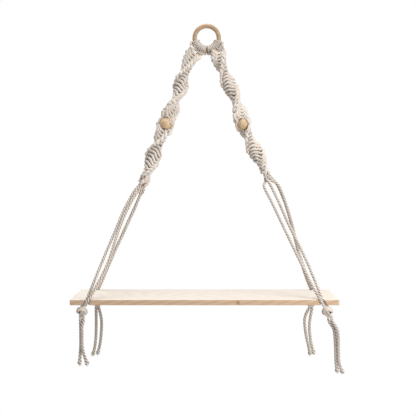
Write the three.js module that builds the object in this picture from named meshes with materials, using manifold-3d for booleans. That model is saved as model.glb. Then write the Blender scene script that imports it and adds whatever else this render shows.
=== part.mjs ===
// Hanging rope shelf: a thin pine board hung from a wooden ring by two knotted rope straps.
// Millimetres, +X right, +Y to the wall, +Z up. The origin is the nail's place, on the inside
// of the ring at its top. Each strap is two filler strands with two working strands tied round
// them in half knots that are always started from the same side, so the strap turns as it goes
// down. The fillers run through a bead and the working strands pass outside it.

import * as THREE from 'three';
import { mergeVertices } from 'three/addons/utils/BufferGeometryUtils.js';
import Module from 'manifold-3d';

const wasm = await Module();
wasm.setup();

// Ring
const ringOuterDiameter = 40;
const ringThickness = 6.6;
const ringSegments = 32;
const ringSectionSides = 12;

// Board
const boardLength = 350;
const boardDepth = 100;
const boardThickness = 7;
const boardCentreX = -2.9;
const boardRearY = 3.5;
const boardCornerRadius = 1.5;
const boardEdgeRound = 0.5;
const hangHeight = 380;

// Notches in the board's long edges
const notchFromEnd = 24;
const notchWidth = 9;
const notchDepth = 8;
const notchLean = 4;

// Cord, and the same cord where it is drawn tight
const cordDiameter = 3.5;
const tightCordDiameter = 2.7;
const fillerDiameter = 3;
const gap = 0.3;
const overrun = 1;

// Lark's heads on the ring: the angles are from straight down
const headAngles = [22, 58];
const wrapGap = 0.45;
const wrapPitch = 3.4;
const headTail = 8;
const headTailRise = 1.5;
const barLift = 3.85;

// Straps: the routes of their middle lines, chosen by hand, with z from the ring's lowest point
const leftStrapRoute = [
  [-16, -2, 1.4], [-20, -2.7, -5.6], [-28.5, -5, -25.6], [-42.5, -8.5, -63.6], [-56.5, -12.5, -100.6],
  [-65.5, -15, -126.6], [-75, -18, -147.6], [-84.5, -20.5, -171.6], [-90.5, -22, -187.6],
];
const rightStrapRoute = [
  [13.5, -2, 1.4], [17, -2.7, -6.6], [24.5, -5, -26.6], [40, -8.5, -67.6], [52.5, -12.5, -103.6],
  [58.5, -14.5, -117.6], [66, -17, -134.6], [77, -19.5, -159.6], [83.5, -21, -175.6],
];
const halfKnotPitch = 7.8;
const knotsFrom = 10.5;
const fillerSpacing = 3.85;
const strapSpread = 3.5;
const strandTail = 10;

// Beads
const beadDiameter = 17.5;
const beadHole = 8;

// Overhand knots under the board
const knotWidth = 14;
const knotDepth = 11.5;
const knotHeight = 13;
const knotCordDiameter = 3.3;
const knotPairSpacing = 3;
const tailSpacing = 3.9;
const knotCoreShare = 0.75;
const knotDrop = 1.4;
const knotStub = 1.8;

// Cord pair in a notch: how far the two lie apart along and across the board
const notchPairAlong = 3.6;
const notchPairAcross = 2.4;
const notchPairFromEdge = 3.9;

// Counts
const tightSides = 4;
const cordSides = 8;
const knotSides = 5;
const fillerSteps = 18;
const tailSteps = 12;
const knotSteps = 20;
const beadSegments = 20;
const beadArcSteps = 8;
const domeRings = 2;
const roundSteps = 3;
const notchArcSteps = 8;
const fillerMeasureSteps = 400;
const printedDecimals = 4;

// One strand's way over two half knots. Across the strap x runs to the right and y to the
// viewer, in shares of strapSpread; z runs down the strap in shares of the half knot pitch.
// In the first half knot the strand crosses in front from right to left, in the second it hooks
// round its partner, goes behind the fillers and hooks round its partner again on the right.
const frontCrossingShares = [
  [2.15, 0.85, -0.09], [1.45, 0.75, 0.07], [0.75, 1.05, 0.02],
  [-0.8, 1.1, 0.02], [-1.35, 1.3, 0.09], [-1.6, 1.8, 0.22],
];
const rearCrossingShares = [
  [-1.2, 2.2, -0.35], [-0.25, 2.0, 0.33], [-0.55, 1.35, 0.52], [-1.75, 0.15, 0.38],
  [-1.3, -0.75, 0.26], [-0.3, -1.15, 0.02], [0.8, -1.1, -0.07], [1.75, -0.2, -0.25],
  [1.15, 1.2, -0.46], [1.4, 1.8, -0.22], [2.25, 1.4, 0.57],
];
const entryShares = { left: [-2.1, 1.7, -0.7], right: [2.5, 1.3, -0.5] };
const exitShares = { left: [-1.95, 1.8, 0.62], right: [2.2, 1.2, 0.85] };
const leaveShares = { left: [-1.85, 1.0, 1.0], right: [2.0, 0.9, 1.1] };
const endShares = { left: [-1.65, 0.55], right: [1.75, 0.6] };

// The overhand knot's way, in shares of its half width, half depth and half height, with x to
// the outside of the board, y to the wall and z up
const overhandShares = [
  [0.1, 0.05, 1.0], [0.0, 0.15, 0.2], [-0.2, 0.3, -0.75], [-0.75, 0.0, -1.0], [-1.0, -0.35, 0.0],
  [-0.6, -0.85, 0.8], [0.1, -1.0, 1.0], [0.8, -0.6, 0.7], [1.0, 0.1, 0.2], [0.75, 0.8, -0.2],
  [0.1, 1.0, -0.2], [-0.45, 0.55, 0.0], [-0.5, -0.3, -0.1], [-0.3, -0.85, -0.6], [0.0, -0.4, -1.2],
];

// What differs between the two straps: the turn of each run of half knots in degrees, the
// number of half knots above and below the bead, and the side towards the board's end
const straps = {
  left: {
    side: -1, route: leftStrapRoute, halfKnotCounts: [12, 10],
    startAngles: [19, 385], anglePerKnot: 30.5, passAngles: { left: 158, right: -8 },
  },
  right: {
    side: 1, route: rightStrapRoute, halfKnotCounts: [12, 8],
    startAngles: [17, 425], anglePerKnot: 30, passAngles: { left: 150, right: 0 },
  },
};

// The four corners: how far the knot hangs from its notch along the board, how far the tails
// leave it from its middle, and the tails' ways from their upper ends, chosen by hand
const corners = {
  front_left: {
    strap: 'left', row: 'front', knotShift: -4.5, tailShift: 0,
    tails: {
      outer: [
        [0, 0, 0], [0, 0.5, -3], [0.1, 1.5, -10], [0.1, 1.7, -23], [0, 1.7, -36], [-0.8, 1.2, -46],
        [-1.6, 0.8, -59],
      ],
      inner: [
        [0, 0, 0], [-0.3, -0.7, -3], [-1.6, -1.7, -10], [-1.7, -1.7, -23], [-1.5, -1.7, -36],
        [0.6, -1.2, -46], [5, -0.8, -59],
      ],
    },
  },
  front_right: {
    strap: 'right', row: 'front', knotShift: 5, tailShift: 3.5,
    tails: {
      outer: [
        [0, 0, 0], [0.7, -0.7, -3], [3, -1.7, -6.5], [6.4, -2, -12], [8, -2, -20],
        [8.7, -1.5, -37], [9.8, -1.2, -57], [14.4, -1, -70],
      ],
      inner: [
        [0, 0, 0], [0.5, 0.8, -3], [2.6, 1.5, -6.5], [6.2, 1.6, -12], [8, 1.4, -20],
        [9.2, 1.2, -37], [9.9, 1, -57], [11.4, 0.8, -69],
      ],
    },
  },
  rear_left: {
    strap: 'left', row: 'rear', knotShift: 1.5, tailShift: 2,
    tails: {
      outer: [[0, 0, 0], [0.1, 0, -12], [0.1, 0, -26], [-0.9, 0, -47.5], [-3, 0, -60], [-5, 0, -67]],
      inner: [[0, 0, 0], [2, 0, -8], [3.7, 0, -18], [3, 0, -39.5], [1, 0, -54], [-2, 0, -65.5]],
    },
  },
  rear_right: {
    strap: 'right', row: 'rear', knotShift: -2, tailShift: -3,
    tails: {
      outer: [[0, 0, 0], [-1, 0, -6], [-2.2, 0, -12], [-3.7, 0, -26], [-1.7, 0, -47.5], [2.7, 0, -65]],
      inner: [
        [0, 0, 0], [-2.2, 0, -4], [-5, 0, -10], [-6.7, 0, -18], [-4.3, 0, -40], [-0.8, 0, -55],
        [1.1, 0, -66],
      ],
    },
  },
};

// Sizes that follow from the ones above
const ringTubeRadius = ringThickness / 2;
const ringRadius = ringOuterDiameter / 2 - ringTubeRadius;
const ringCentre = new THREE.Vector3(0, 0, ringTubeRadius - ringRadius);
const boardUndersideZ = ringThickness - hangHeight;
const boardTopZ = boardUndersideZ + boardThickness;
const boardFrontY = boardRearY - boardDepth;
const beadRadius = beadDiameter / 2;
const beadHalfHeight = Math.sqrt(beadRadius ** 2 - (beadHole / 2) ** 2);
const beadReach = beadRadius + wrapGap + tightCordDiameter / 2;
const ringLowestZ = ringCentre.z - ringOuterDiameter / 2;
const viewer = new THREE.Vector3(0, -1, 0);

// Colours and materials
const woodColour = 0xcfa77c;
const beadColour = 0xd0a67b;
const pineColour = 0xecd6b4;
const ropeColour = 0xe6dccb;
const wood = new THREE.MeshStandardMaterial({ color: woodColour, roughness: 0.6, metalness: 0 });
const beadWood = new THREE.MeshStandardMaterial({ color: beadColour, roughness: 0.55, metalness: 0 });
const pine = new THREE.MeshStandardMaterial({ color: pineColour, roughness: 0.65, metalness: 0 });
const rope = new THREE.MeshStandardMaterial({ color: ropeColour, roughness: 0.9, metalness: 0 });

const shelf = new THREE.Group();

function add(name, geometry, material) {
  const mesh = new THREE.Mesh(geometry, material);
  mesh.name = name;
  shelf.add(mesh);
  return mesh;
}

function vector([x, y, z]) {
  return new THREE.Vector3(x, y, z);
}

// Solids for the joins and cuts
function toSolid(geometry) {
  const plain = geometry.clone();
  plain.deleteAttribute('normal');
  plain.deleteAttribute('uv');
  const merged = mergeVertices(plain);
  return new wasm.Manifold(new wasm.Mesh({
    numProp: 3,
    vertProperties: new Float32Array(merged.attributes.position.array),
    triVerts: new Uint32Array(merged.index.array),
  }));
}

function toGeometry(solid) {
  const mesh = solid.getMesh();
  const geometry = new THREE.BufferGeometry();
  geometry.setAttribute('position', new THREE.BufferAttribute(mesh.vertProperties, mesh.numProp));
  geometry.setIndex(new THREE.BufferAttribute(mesh.triVerts, 1));
  return geometry;
}

// The outermost skin of a joined solid: pockets left between its cords are filled
function outerSkin(geometry) {
  const index = geometry.index.array;
  const owner = Array.from({ length: geometry.attributes.position.count }, (_, i) => i);
  const root = (i) => {
    let at = i;
    while (owner[at] !== at) at = owner[at];
    owner[i] = at;
    return at;
  };
  for (let i = 0; i < index.length; i += 3) {
    owner[root(index[i + 1])] = root(index[i]);
    owner[root(index[i + 2])] = root(index[i]);
  }
  const place = new THREE.Vector3();
  const extents = new Map();
  for (let i = 0; i < owner.length; i += 1) {
    place.fromBufferAttribute(geometry.attributes.position, i);
    const box = extents.get(root(i)) ?? new THREE.Box3();
    extents.set(root(i), box.expandByPoint(place));
  }
  const size = (box) => box.min.distanceTo(box.max);
  const outer = [...extents].reduce((a, b) => (size(b[1]) > size(a[1]) ? b : a))[0];
  const kept = [];
  for (let i = 0; i < index.length; i += 3) {
    if (root(index[i]) === outer) kept.push(index[i], index[i + 1], index[i + 2]);
  }
  geometry.setIndex(kept);
  return geometry;
}

// A closed tube with a ring of points at each point of a route. The section is carried along
// without turning, and radii may differ from ring to ring.
function sweep(points, radii, sides) {
  const tangents = points.map((point, i) => {
    const before = points[Math.max(i - 1, 0)];
    const after = points[Math.min(i + 1, points.length - 1)];
    return after.clone().sub(before).normalize();
  });
  const across = new THREE.Vector3(1, 0, 0);
  const vertices = [];
  points.forEach((point, i) => {
    across.addScaledVector(tangents[i], -across.dot(tangents[i])).normalize();
    const upright = tangents[i].clone().cross(across);
    for (let k = 0; k < sides; k += 1) {
      const turn = (2 * Math.PI * k) / sides;
      const corner = point.clone();
      corner.addScaledVector(across, radii[i] * Math.cos(turn));
      corner.addScaledVector(upright, radii[i] * Math.sin(turn));
      vertices.push(corner.x, corner.y, corner.z);
    }
  });
  const triangles = [];
  for (let i = 0; i < points.length - 1; i += 1) {
    for (let k = 0; k < sides; k += 1) {
      const a = i * sides + k;
      const b = i * sides + ((k + 1) % sides);
      triangles.push(a, b, b + sides, a, b + sides, a + sides);
    }
  }
  const last = (points.length - 1) * sides;
  for (let k = 1; k < sides - 1; k += 1) {
    triangles.push(0, k + 1, k, last, last + k, last + k + 1);
  }
  const geometry = new THREE.BufferGeometry();
  geometry.setAttribute('position', new THREE.Float32BufferAttribute(vertices, 3));
  geometry.setIndex(triangles);
  return geometry;
}

function evenRadii(points, diameter) {
  return points.map(() => diameter / 2);
}

// A plain cord: a round section extruded along a curve
function plainCord(curve, diameter, steps) {
  const section = new THREE.Shape();
  for (let k = 0; k < cordSides; k += 1) {
    const turn = (2 * Math.PI * k) / cordSides;
    const point = [Math.cos(turn) * diameter / 2, Math.sin(turn) * diameter / 2];
    if (k === 0) section.moveTo(...point);
    else section.lineTo(...point);
  }
  section.closePath();
  return new THREE.ExtrudeGeometry(section, { steps, extrudePath: curve, bevelEnabled: false });
}

// Ring
function makeRing() {
  const geometry = new THREE.TorusGeometry(ringRadius, ringTubeRadius, ringSectionSides, ringSegments);
  const ring = add('ring', geometry, wood);
  ring.rotation.x = Math.PI / 2;
  ring.position.copy(ringCentre);
}

// A place by the ring: angle from straight down towards the side, distance from the ring's
// middle, and distance towards the viewer
function byRing(side, angle, radius, front) {
  const place = ringCentre.clone();
  place.x += side * Math.sin(angle) * radius;
  place.z -= Math.cos(angle) * radius;
  return place.addScaledVector(viewer, front);
}

const wrapRadius = ringTubeRadius + wrapGap + tightCordDiameter / 2;
const headRadius = ringRadius + wrapRadius;

function headEnd(side, angle, along, beyond) {
  const turn = THREE.MathUtils.degToRad(angle) + along / headRadius;
  return byRing(side, turn, ringRadius + headTail + beyond, headTailRise);
}

// One half of a lark's head, from its free end round the ring to the middle of its bar. The
// first share is of the wrap pitch along the ring, the second of the way round in degrees,
// and the third of the bar's lift off the ring.
const headWrapShares = [
  [0.55, 55, 0], [0.65, 90, 0], [0.75, 125, 0], [0.9, 165, 0], [1.05, 205, 0], [1.2, 245, 0],
  [1.35, 285, 0], [1.45, 325, 0], [1.5, 360, 0.06], [1.35, 387, 0.5], [0.75, 397, 1],
];
const headTailShare = 0.72;

function headHalf(side, angle, hand) {
  const points = [headEnd(side, angle, hand * wrapPitch / 2, 0)];
  const near = headEnd(side, angle, hand * wrapPitch / 2, headTail * (headTailShare - 1));
  points.push(near);
  for (const [along, round, lift] of headWrapShares) {
    const turn = THREE.MathUtils.degToRad(angle) + (hand * along * wrapPitch) / headRadius;
    const around = THREE.MathUtils.degToRad(round);
    const reach = wrapRadius + lift * barLift;
    const radius = ringRadius + reach * Math.cos(around);
    points.push(byRing(side, turn, radius, reach * Math.sin(around)));
  }
  return points;
}

function makeLarksHead(name, side, angle) {
  const points = [...headHalf(side, angle, 1), ...headHalf(side, angle, -1).reverse()];
  add(name, sweep(points, evenRadii(points, tightCordDiameter), tightSides), rope);
  return points;
}

// The strap's own frame at a distance down its middle line
function strapFrame(strap, distance) {
  const length = strap.curve.getLength();
  const share = THREE.MathUtils.clamp(distance / length, 0, 1);
  const down = strap.curve.getTangentAt(share);
  const right = viewer.clone().cross(down).normalize();
  const front = down.clone().cross(right);
  return { middle: strap.curve.getPointAt(share), right, front, down };
}

function strapTurn(strap, distance) {
  const [upper, lower] = strap.startAngles;
  const upperEnd = upper + strap.anglePerKnot * strap.halfKnotCounts[0];
  let turn = upper + (strap.anglePerKnot * (distance - knotsFrom)) / halfKnotPitch;
  if (distance > strap.beadFrom) {
    const room = strap.lowerFrom - strap.beadFrom;
    turn = upperEnd + ((lower - upperEnd) * (distance - strap.beadFrom)) / room;
  }
  if (distance > strap.lowerFrom) {
    turn = lower + (strap.anglePerKnot * (distance - strap.lowerFrom)) / halfKnotPitch;
  }
  return THREE.MathUtils.degToRad(turn);
}

// A place in the strap, with x and y across it in millimetres before it turns
function inStrap(strap, x, y, distance) {
  const frame = strapFrame(strap, distance);
  const turn = strapTurn(strap, distance);
  const place = frame.middle;
  place.addScaledVector(frame.right, x * Math.cos(turn) - y * Math.sin(turn));
  place.addScaledVector(frame.front, x * Math.sin(turn) + y * Math.cos(turn));
  return place;
}

function knotPoints(strap, shares, knot, from) {
  return shares.map(([x, y, z]) => (
    inStrap(strap, x * strapSpread, y * strapSpread, from + (knot + z) * halfKnotPitch)
  ));
}

// The strand's way past the bead, close round its side, at these slopes up and down the ball
const passSlopes = [-40, -12, 15];

function passPoints(strap, hand) {
  const side = THREE.MathUtils.degToRad(strap.passAngles[hand]);
  return passSlopes.map((angle) => {
    const slope = THREE.MathUtils.degToRad(angle);
    const out = beadReach * Math.cos(slope);
    const distance = strap.beadAt + beadReach * Math.sin(slope);
    return inStrap(strap, out * Math.cos(side), out * Math.sin(side), distance);
  });
}

// A working strand starts at its lark's head on one hand of the strap. The right one crosses
// in front in the even half knots, the left one in the odd ones.
function workingRoute(strap, hand) {
  const first = hand === 'right' ? 0 : 1;
  const start = strap.starts[hand];
  const points = [start.place, start.place.clone().addScaledVector(start.way, tightCordDiameter / 2)];
  const runs = [knotsFrom, strap.lowerFrom];
  runs.forEach((from, run) => {
    points.push(...knotPoints(strap, [entryShares[hand]], 0, from));
    for (let knot = 0; knot < strap.halfKnotCounts[run]; knot += 1) {
      const shares = (knot + first) % 2 === 0 ? frontCrossingShares : rearCrossingShares;
      points.push(...knotPoints(strap, shares, knot, from));
    }
    points.push(...knotPoints(strap, [exitShares[hand]], strap.halfKnotCounts[run] - 1, from));
    if (run === 0) points.push(...passPoints(strap, hand));
  });
  points.push(...knotPoints(strap, [leaveShares[hand]], strap.halfKnotCounts[1] - 1, strap.lowerFrom));
  points.push(strandEnd(strap, hand, -tightCordDiameter / 2));
  points.push(strandEnd(strap, hand, 0));
  return points;
}

function strandEnd(strap, hand, beyond) {
  const [x, y] = endShares[hand];
  const turnAt = strap.endsAt;
  const place = inStrap(strap, x * strapSpread, y * strapSpread, turnAt);
  return place.addScaledVector(strapFrame(strap, turnAt).down, beyond);
}

function fillerEnd(strap, hand, beyond) {
  const x = hand === 'right' ? fillerSpacing / 2 : -fillerSpacing / 2;
  const place = inStrap(strap, x, 0, strap.endsAt);
  return place.addScaledVector(strapFrame(strap, strap.endsAt).down, beyond);
}

// How far above the first half knot the fillers have come together, in half knot pitches
const gatherShare = 0.65;

// A filler strand runs from its lark's head, gathers at the first half knot and stays beside
// its neighbour down to the parting
function fillerCurve(strap, hand) {
  const start = strap.starts[`${hand}Filler`];
  const x = hand === 'right' ? fillerSpacing / 2 : -fillerSpacing / 2;
  const points = [start.place, start.place.clone().addScaledVector(start.way, gap)];
  const gathered = knotsFrom - gatherShare * halfKnotPitch;
  points.push(inStrap(strap, x, 0, gathered - fillerDiameter / 2));
  const steps = fillerSteps - 2;
  for (let k = 0; k < steps; k += 1) {
    const distance = gathered + ((strap.endsAt - fillerDiameter - gathered) * k) / (steps - 1);
    points.push(inStrap(strap, x, 0, distance));
  }
  points.push(fillerEnd(strap, hand, 0));
  return new THREE.CatmullRomCurve3(points, false, 'centripetal');
}

// Bead: a ball with a hole, turned
function makeBead(name, strap) {
  const profile = [];
  const reach = Math.asin(beadHalfHeight / beadRadius);
  for (let k = 0; k <= beadArcSteps; k += 1) {
    const slope = -reach + (2 * reach * k) / beadArcSteps;
    profile.push(new THREE.Vector2(beadRadius * Math.cos(slope), beadRadius * Math.sin(slope)));
  }
  profile.push(profile[0].clone());
  const bead = add(name, new THREE.LatheGeometry(profile, beadSegments), beadWood);
  const frame = strapFrame(strap, strap.beadAt);
  bead.position.copy(frame.middle);
  bead.quaternion.setFromUnitVectors(new THREE.Vector3(0, 1, 0), frame.down.clone().negate());
  const told = [frame.middle, frame.down].map((value) => value.toArray().map((n) => n.toFixed(printedDecimals)));
  console.log(`${name} middle ${told[0]} way ${told[1]}`);
}

// How far from the bead's middle a strand may come at a distance from the strap's middle line
function clearOfBead(reach) {
  return Math.sqrt(beadReach ** 2 - reach ** 2);
}

// The strands' nearest places to the bead: the last hook above it and the first one below it
const hookReachShares = [1.46, 1.66];
const hookHeightShares = [-0.46, -0.47];
const hookReaches = hookReachShares.map((share) => share * strapSpread);
const hookHeights = hookHeightShares.map((share) => share * halfKnotPitch);

function placeAlong(strap) {
  const places = strap.route.map(([x, y, z]) => new THREE.Vector3(x, y, ringLowestZ + z));
  strap.curve = new THREE.CatmullRomCurve3(places, false, 'centripetal');
  strap.beadFrom = knotsFrom + strap.halfKnotCounts[0] * halfKnotPitch;
  strap.beadAt = strap.beadFrom + hookHeights[0] + clearOfBead(hookReaches[0]);
  strap.lowerFrom = strap.beadAt + clearOfBead(hookReaches[1]) - hookHeights[1];
  strap.endsAt = strap.lowerFrom + (strap.halfKnotCounts[1] - 1) * halfKnotPitch + strandTail;
}

// Where the four strands of a strap leave the lark's heads, in order across the strap
function strandStarts(strap) {
  const [lower, upper] = headAngles;
  const order = [[lower, -1], [lower, 1], [upper, -1], [upper, 1]];
  if (strap.side < 0) order.reverse();
  const names = ['left', 'leftFiller', 'rightFiller', 'right'];
  strap.starts = {};
  names.forEach((name, k) => {
    const [angle, hand] = order[k];
    const along = (hand * wrapPitch) / 2;
    const place = headEnd(strap.side, angle, along, gap);
    const way = place.clone().sub(headEnd(strap.side, angle, along, 0)).normalize();
    strap.starts[name] = { place, way };
  });
}

function makeStrap(name, strap) {
  placeAlong(strap);
  strandStarts(strap);
  makeLarksHead(`${name}_larks_head_lower`, strap.side, headAngles[0]);
  makeLarksHead(`${name}_larks_head_upper`, strap.side, headAngles[1]);
  makeBead(`${name}_bead`, strap);
  strap.working = {};
  strap.fillers = {};
  for (const hand of ['left', 'right']) {
    const points = workingRoute(strap, hand);
    strap.working[hand] = points;
    const tube = sweep(points, evenRadii(points, tightCordDiameter), tightSides);
    add(`${name}_working_strand_${hand}`, tube, rope);
    const filler = fillerCurve(strap, hand);
    strap.fillers[hand] = filler;
    add(`${name}_filler_${hand}`, plainCord(filler, fillerDiameter, fillerSteps), rope);
  }
}

// Board with four open notches whose walls lean out towards the bottom
function roundedSlab() {
  const shape = new THREE.Shape();
  const halfLength = boardLength / 2 - boardEdgeRound;
  const halfDepth = boardDepth / 2 - boardEdgeRound;
  const radius = boardCornerRadius - boardEdgeRound;
  const corner = [[1, -1], [1, 1], [-1, 1], [-1, -1]];
  corner.forEach(([x, y], k) => {
    const middle = [x * (halfLength - radius), y * (halfDepth - radius)];
    for (let step = 0; step <= roundSteps; step += 1) {
      const turn = (Math.PI / 2) * (k - 1 + step / roundSteps);
      const point = [middle[0] + radius * Math.cos(turn), middle[1] + radius * Math.sin(turn)];
      if (k === 0 && step === 0) shape.moveTo(...point);
      else shape.lineTo(...point);
    }
  });
  shape.closePath();
  const slab = new THREE.ExtrudeGeometry(shape, {
    depth: boardThickness - 2 * boardEdgeRound,
    bevelEnabled: true,
    bevelThickness: boardEdgeRound,
    bevelSize: boardEdgeRound,
    bevelSegments: 1,
  });
  slab.translate(boardCentreX, (boardRearY + boardFrontY) / 2, boardUndersideZ + boardEdgeRound);
  return slab;
}

// A notch's place at a height: its middle along the board, and its edge's y
function notchMiddle(side, z) {
  const lean = (notchLean * (boardTopZ - z)) / boardThickness;
  return boardCentreX + side * (boardLength / 2 - notchFromEnd + lean);
}

function notchCutter(side, row) {
  const shape = new THREE.Shape();
  const half = notchWidth / 2;
  const inward = row === 'front' ? 1 : -1;
  const straight = inward * (notchDepth - half);
  shape.moveTo(-half * inward, -overrun * inward);
  shape.lineTo(half * inward, -overrun * inward);
  shape.lineTo(half * inward, straight);
  const from = row === 'front' ? 0 : Math.PI;
  shape.absarc(0, straight, half, from, from + Math.PI, false);
  shape.closePath();
  const cutter = new THREE.ExtrudeGeometry(shape, {
    depth: boardThickness + 2 * overrun, bevelEnabled: false, curveSegments: notchArcSteps,
  });
  const lean = (-side * notchLean) / boardThickness;
  cutter.applyMatrix4(new THREE.Matrix4().makeShear(0, 0, 0, 0, lean, 0));
  const edge = row === 'front' ? boardFrontY : boardRearY;
  const bottom = boardUndersideZ - overrun;
  cutter.translate(notchMiddle(side, bottom), edge, bottom);
  return cutter;
}

function makeBoard() {
  let board = toSolid(roundedSlab());
  for (const side of [-1, 1]) {
    for (const row of ['front', 'rear']) {
      board = board.subtract(toSolid(notchCutter(side, row)));
    }
  }
  add('board', toGeometry(board), pine);
}

// Where a leg's cord passes its notch at a height. The two cords of a pair lie beside each
// other, the outer one further in than the inner one.
function inNotch(side, row, which, z) {
  const inward = row === 'front' ? 1 : -1;
  const edge = row === 'front' ? boardFrontY : boardRearY;
  const hand = which === 'outer' ? 1 : -1;
  const x = notchMiddle(side, z) + (side * hand * notchPairAlong) / 2;
  const y = edge + inward * (notchPairFromEdge + (hand * notchPairAcross) / 2);
  return new THREE.Vector3(x, y, z);
}

// Legs: each strand goes on from the strap's end to its notch. The strands that end in front
// go to the front edge.
const legStrands = {
  front: { outer: ['left', 'worker'], inner: ['left', 'filler'] },
  rear: { outer: ['right', 'filler'], inner: ['right', 'worker'] },
};
const legShares = [0.12, 0.4, 0.7, 0.93];

function legStart(strap, row, which, beyond) {
  const [hand, kind] = legStrands[row][which];
  return kind === 'worker' ? strandEnd(strap, hand, beyond) : fillerEnd(strap, hand, beyond);
}

function pairPoint(strap, row, which, share) {
  const other = which === 'outer' ? 'inner' : 'outer';
  const ends = [which, other].map((name) => [
    legStart(strap, row, name, cordDiameter), inNotch(strap.side, row, name, boardTopZ + cordDiameter),
  ]);
  const [start, end] = [0, 1].map((k) => ends[0][k].clone().add(ends[1][k]).multiplyScalar(0.5));
  const [from, to] = [0, 1].map((k) => ends[0][k].clone().sub(ends[1][k]).multiplyScalar(0.5));
  const least = (cordDiameter + 2 * gap) / 2;
  const apart = Math.max(THREE.MathUtils.lerp(from.length(), to.length(), share), least);
  const turned = new THREE.Quaternion().setFromUnitVectors(from.clone().normalize(), to.clone().normalize());
  const part = new THREE.Quaternion().slerp(turned, share);
  const offset = from.normalize().applyQuaternion(part);
  const way = end.clone().sub(start).normalize();
  offset.addScaledVector(way, -offset.dot(way)).setLength(apart);
  return start.lerp(end, share).add(offset);
}

function makeLeg(name, strap, row, which) {
  const points = [legStart(strap, row, which, gap), legStart(strap, row, which, cordDiameter)];
  for (const share of legShares) points.push(pairPoint(strap, row, which, share));
  points.push(inNotch(strap.side, row, which, boardTopZ));
  points.push(inNotch(strap.side, row, which, boardUndersideZ));
  add(name, sweep(points, evenRadii(points, cordDiameter), cordSides), rope);
  return new THREE.CatmullRomCurve3(points, false, 'centripetal');
}

// Overhand knots: the pair of cords tied as one. The pair lies flat along the knot's way, and
// turns evenly so that it leaves side by side along the board.
function knotPlaces(corner) {
  const { side } = straps[corner.strap];
  const way = new THREE.Vector3(side * notchLean, 0, -boardThickness).normalize();
  const inlets = ['outer', 'inner'].map((which) => (
    inNotch(side, corner.row, which, boardUndersideZ).addScaledVector(way, gap)
  ));
  const middle = inlets[0].clone().add(inlets[1]).multiplyScalar(0.5);
  middle.x += corner.knotShift;
  middle.z = boardUndersideZ - gap - knotDrop - knotHeight / 2;
  const outlets = [1, -1].map((hand) => new THREE.Vector3(
    middle.x + corner.tailShift + (side * hand * tailSpacing) / 2, middle.y, middle.z - knotHeight / 2 - knotStub,
  ));
  return { side, way, middle, inlets, outlets };
}

function knotRoutes(corner) {
  const { side, way: inward, middle, inlets, outlets } = knotPlaces(corner);
  const halfWidth = (knotWidth - knotCordDiameter) / 2;
  const halfDepth = (knotDepth - knotCordDiameter) / 2;
  const halfHeight = (knotHeight - knotCordDiameter - knotPairSpacing) / 2;
  const way = overhandShares.map(([x, y, z]) => new THREE.Vector3(
    middle.x + side * x * halfWidth, middle.y + y * halfDepth, middle.z + z * halfHeight,
  ));
  const centreIn = inlets[0].clone().add(inlets[1]).multiplyScalar(0.5);
  const centreOut = outlets[0].clone().add(outlets[1]).multiplyScalar(0.5);
  const curve = new THREE.CatmullRomCurve3([centreIn, ...way, centreOut], false, 'centripetal');
  const middles = curve.getSpacedPoints(knotSteps);
  const tangents = middles.map((point, i) => curve.getTangentAt(i / knotSteps));
  const wanted = [inlets, outlets].map(([a, b]) => a.clone().sub(b).normalize());
  const across = wanted[0].clone();
  const flats = tangents.map((tangent) => {
    across.addScaledVector(tangent, -across.dot(tangent)).normalize();
    return across.clone();
  });
  const last = tangents[knotSteps];
  const end = wanted[1].addScaledVector(last, -wanted[1].dot(last)).normalize();
  const cross = flats[knotSteps].clone().cross(end);
  const missing = Math.atan2(cross.dot(last), flats[knotSteps].dot(end));
  flats.forEach((flat, i) => flat.applyAxisAngle(tangents[i], (missing * i) / knotSteps));
  return [1, -1].map((hand, k) => {
    const points = middles.map((point, i) => (
      point.clone().addScaledVector(flats[i], (hand * knotPairSpacing) / 2)
    ));
    const enter = inlets[k].clone().addScaledVector(inward, knotCordDiameter / 2);
    const leave = outlets[k].clone();
    leave.z += knotStub;
    return [inlets[k], enter, ...points.slice(1, -1), leave, outlets[k]];
  });
}

function makeKnot(name, corner) {
  const { middle } = knotPlaces(corner);
  const core = new THREE.IcosahedronGeometry(knotCoreShare / 2, 1);
  core.scale(knotWidth, knotDepth, knotHeight);
  core.translate(middle.x, middle.y, middle.z);
  let knot = toSolid(core);
  for (const points of knotRoutes(corner)) {
    knot = knot.add(toSolid(sweep(points, evenRadii(points, knotCordDiameter), knotSides)));
  }
  add(name, outerSkin(toGeometry(knot)), rope);
}

// Tails: each starts in a small dome, as it turns about the dome's middle under its knot. The
// dome's flat tip is this share of one ring's step wide.
const domeTipShare = 0.5;

function makeTail(name, pivot, route) {
  const places = route.map((offset) => vector(offset).add(pivot));
  const curve = new THREE.CatmullRomCurve3(places, false, 'centripetal');
  const points = curve.getSpacedPoints(tailSteps);
  const radii = evenRadii(points, cordDiameter);
  const way = points[0].clone().sub(points[1]).normalize();
  for (let ring = 1; ring <= domeRings; ring += 1) {
    const slope = (Math.PI / 2) * (ring / (domeRings + domeTipShare));
    const place = pivot.clone().addScaledVector(way, (cordDiameter / 2) * Math.sin(slope));
    points.unshift(place);
    radii.unshift((cordDiameter / 2) * Math.cos(slope));
  }
  add(name, sweep(points, radii, cordSides), rope);
  return curve;
}

function makeCorner(name, corner) {
  const strap = straps[corner.strap];
  const places = knotPlaces(corner);
  makeKnot(`${name}_knot`, corner);
  const lengths = ['outer', 'inner'].map((which, k) => {
    const leg = makeLeg(`${name}_leg_${which}`, strap, corner.row, which);
    const pivot = places.outlets[k].clone();
    pivot.z -= gap + cordDiameter / 2;
    const tail = makeTail(`${name}_tail_${which}`, pivot, corner.tails[which]);
    return `${which} leg ${leg.getLength().toFixed(1)} tail ${tail.getLength().toFixed(1)}`
      + ` from ${pivot.toArray().map((value) => value.toFixed(2))}`;
  });
  console.log(name, lengths.join('; '));
}

// The least gap between the strands of a strap, measured on points along them
const measureSteps = 6;
const ownReach = 2.2;

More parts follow.
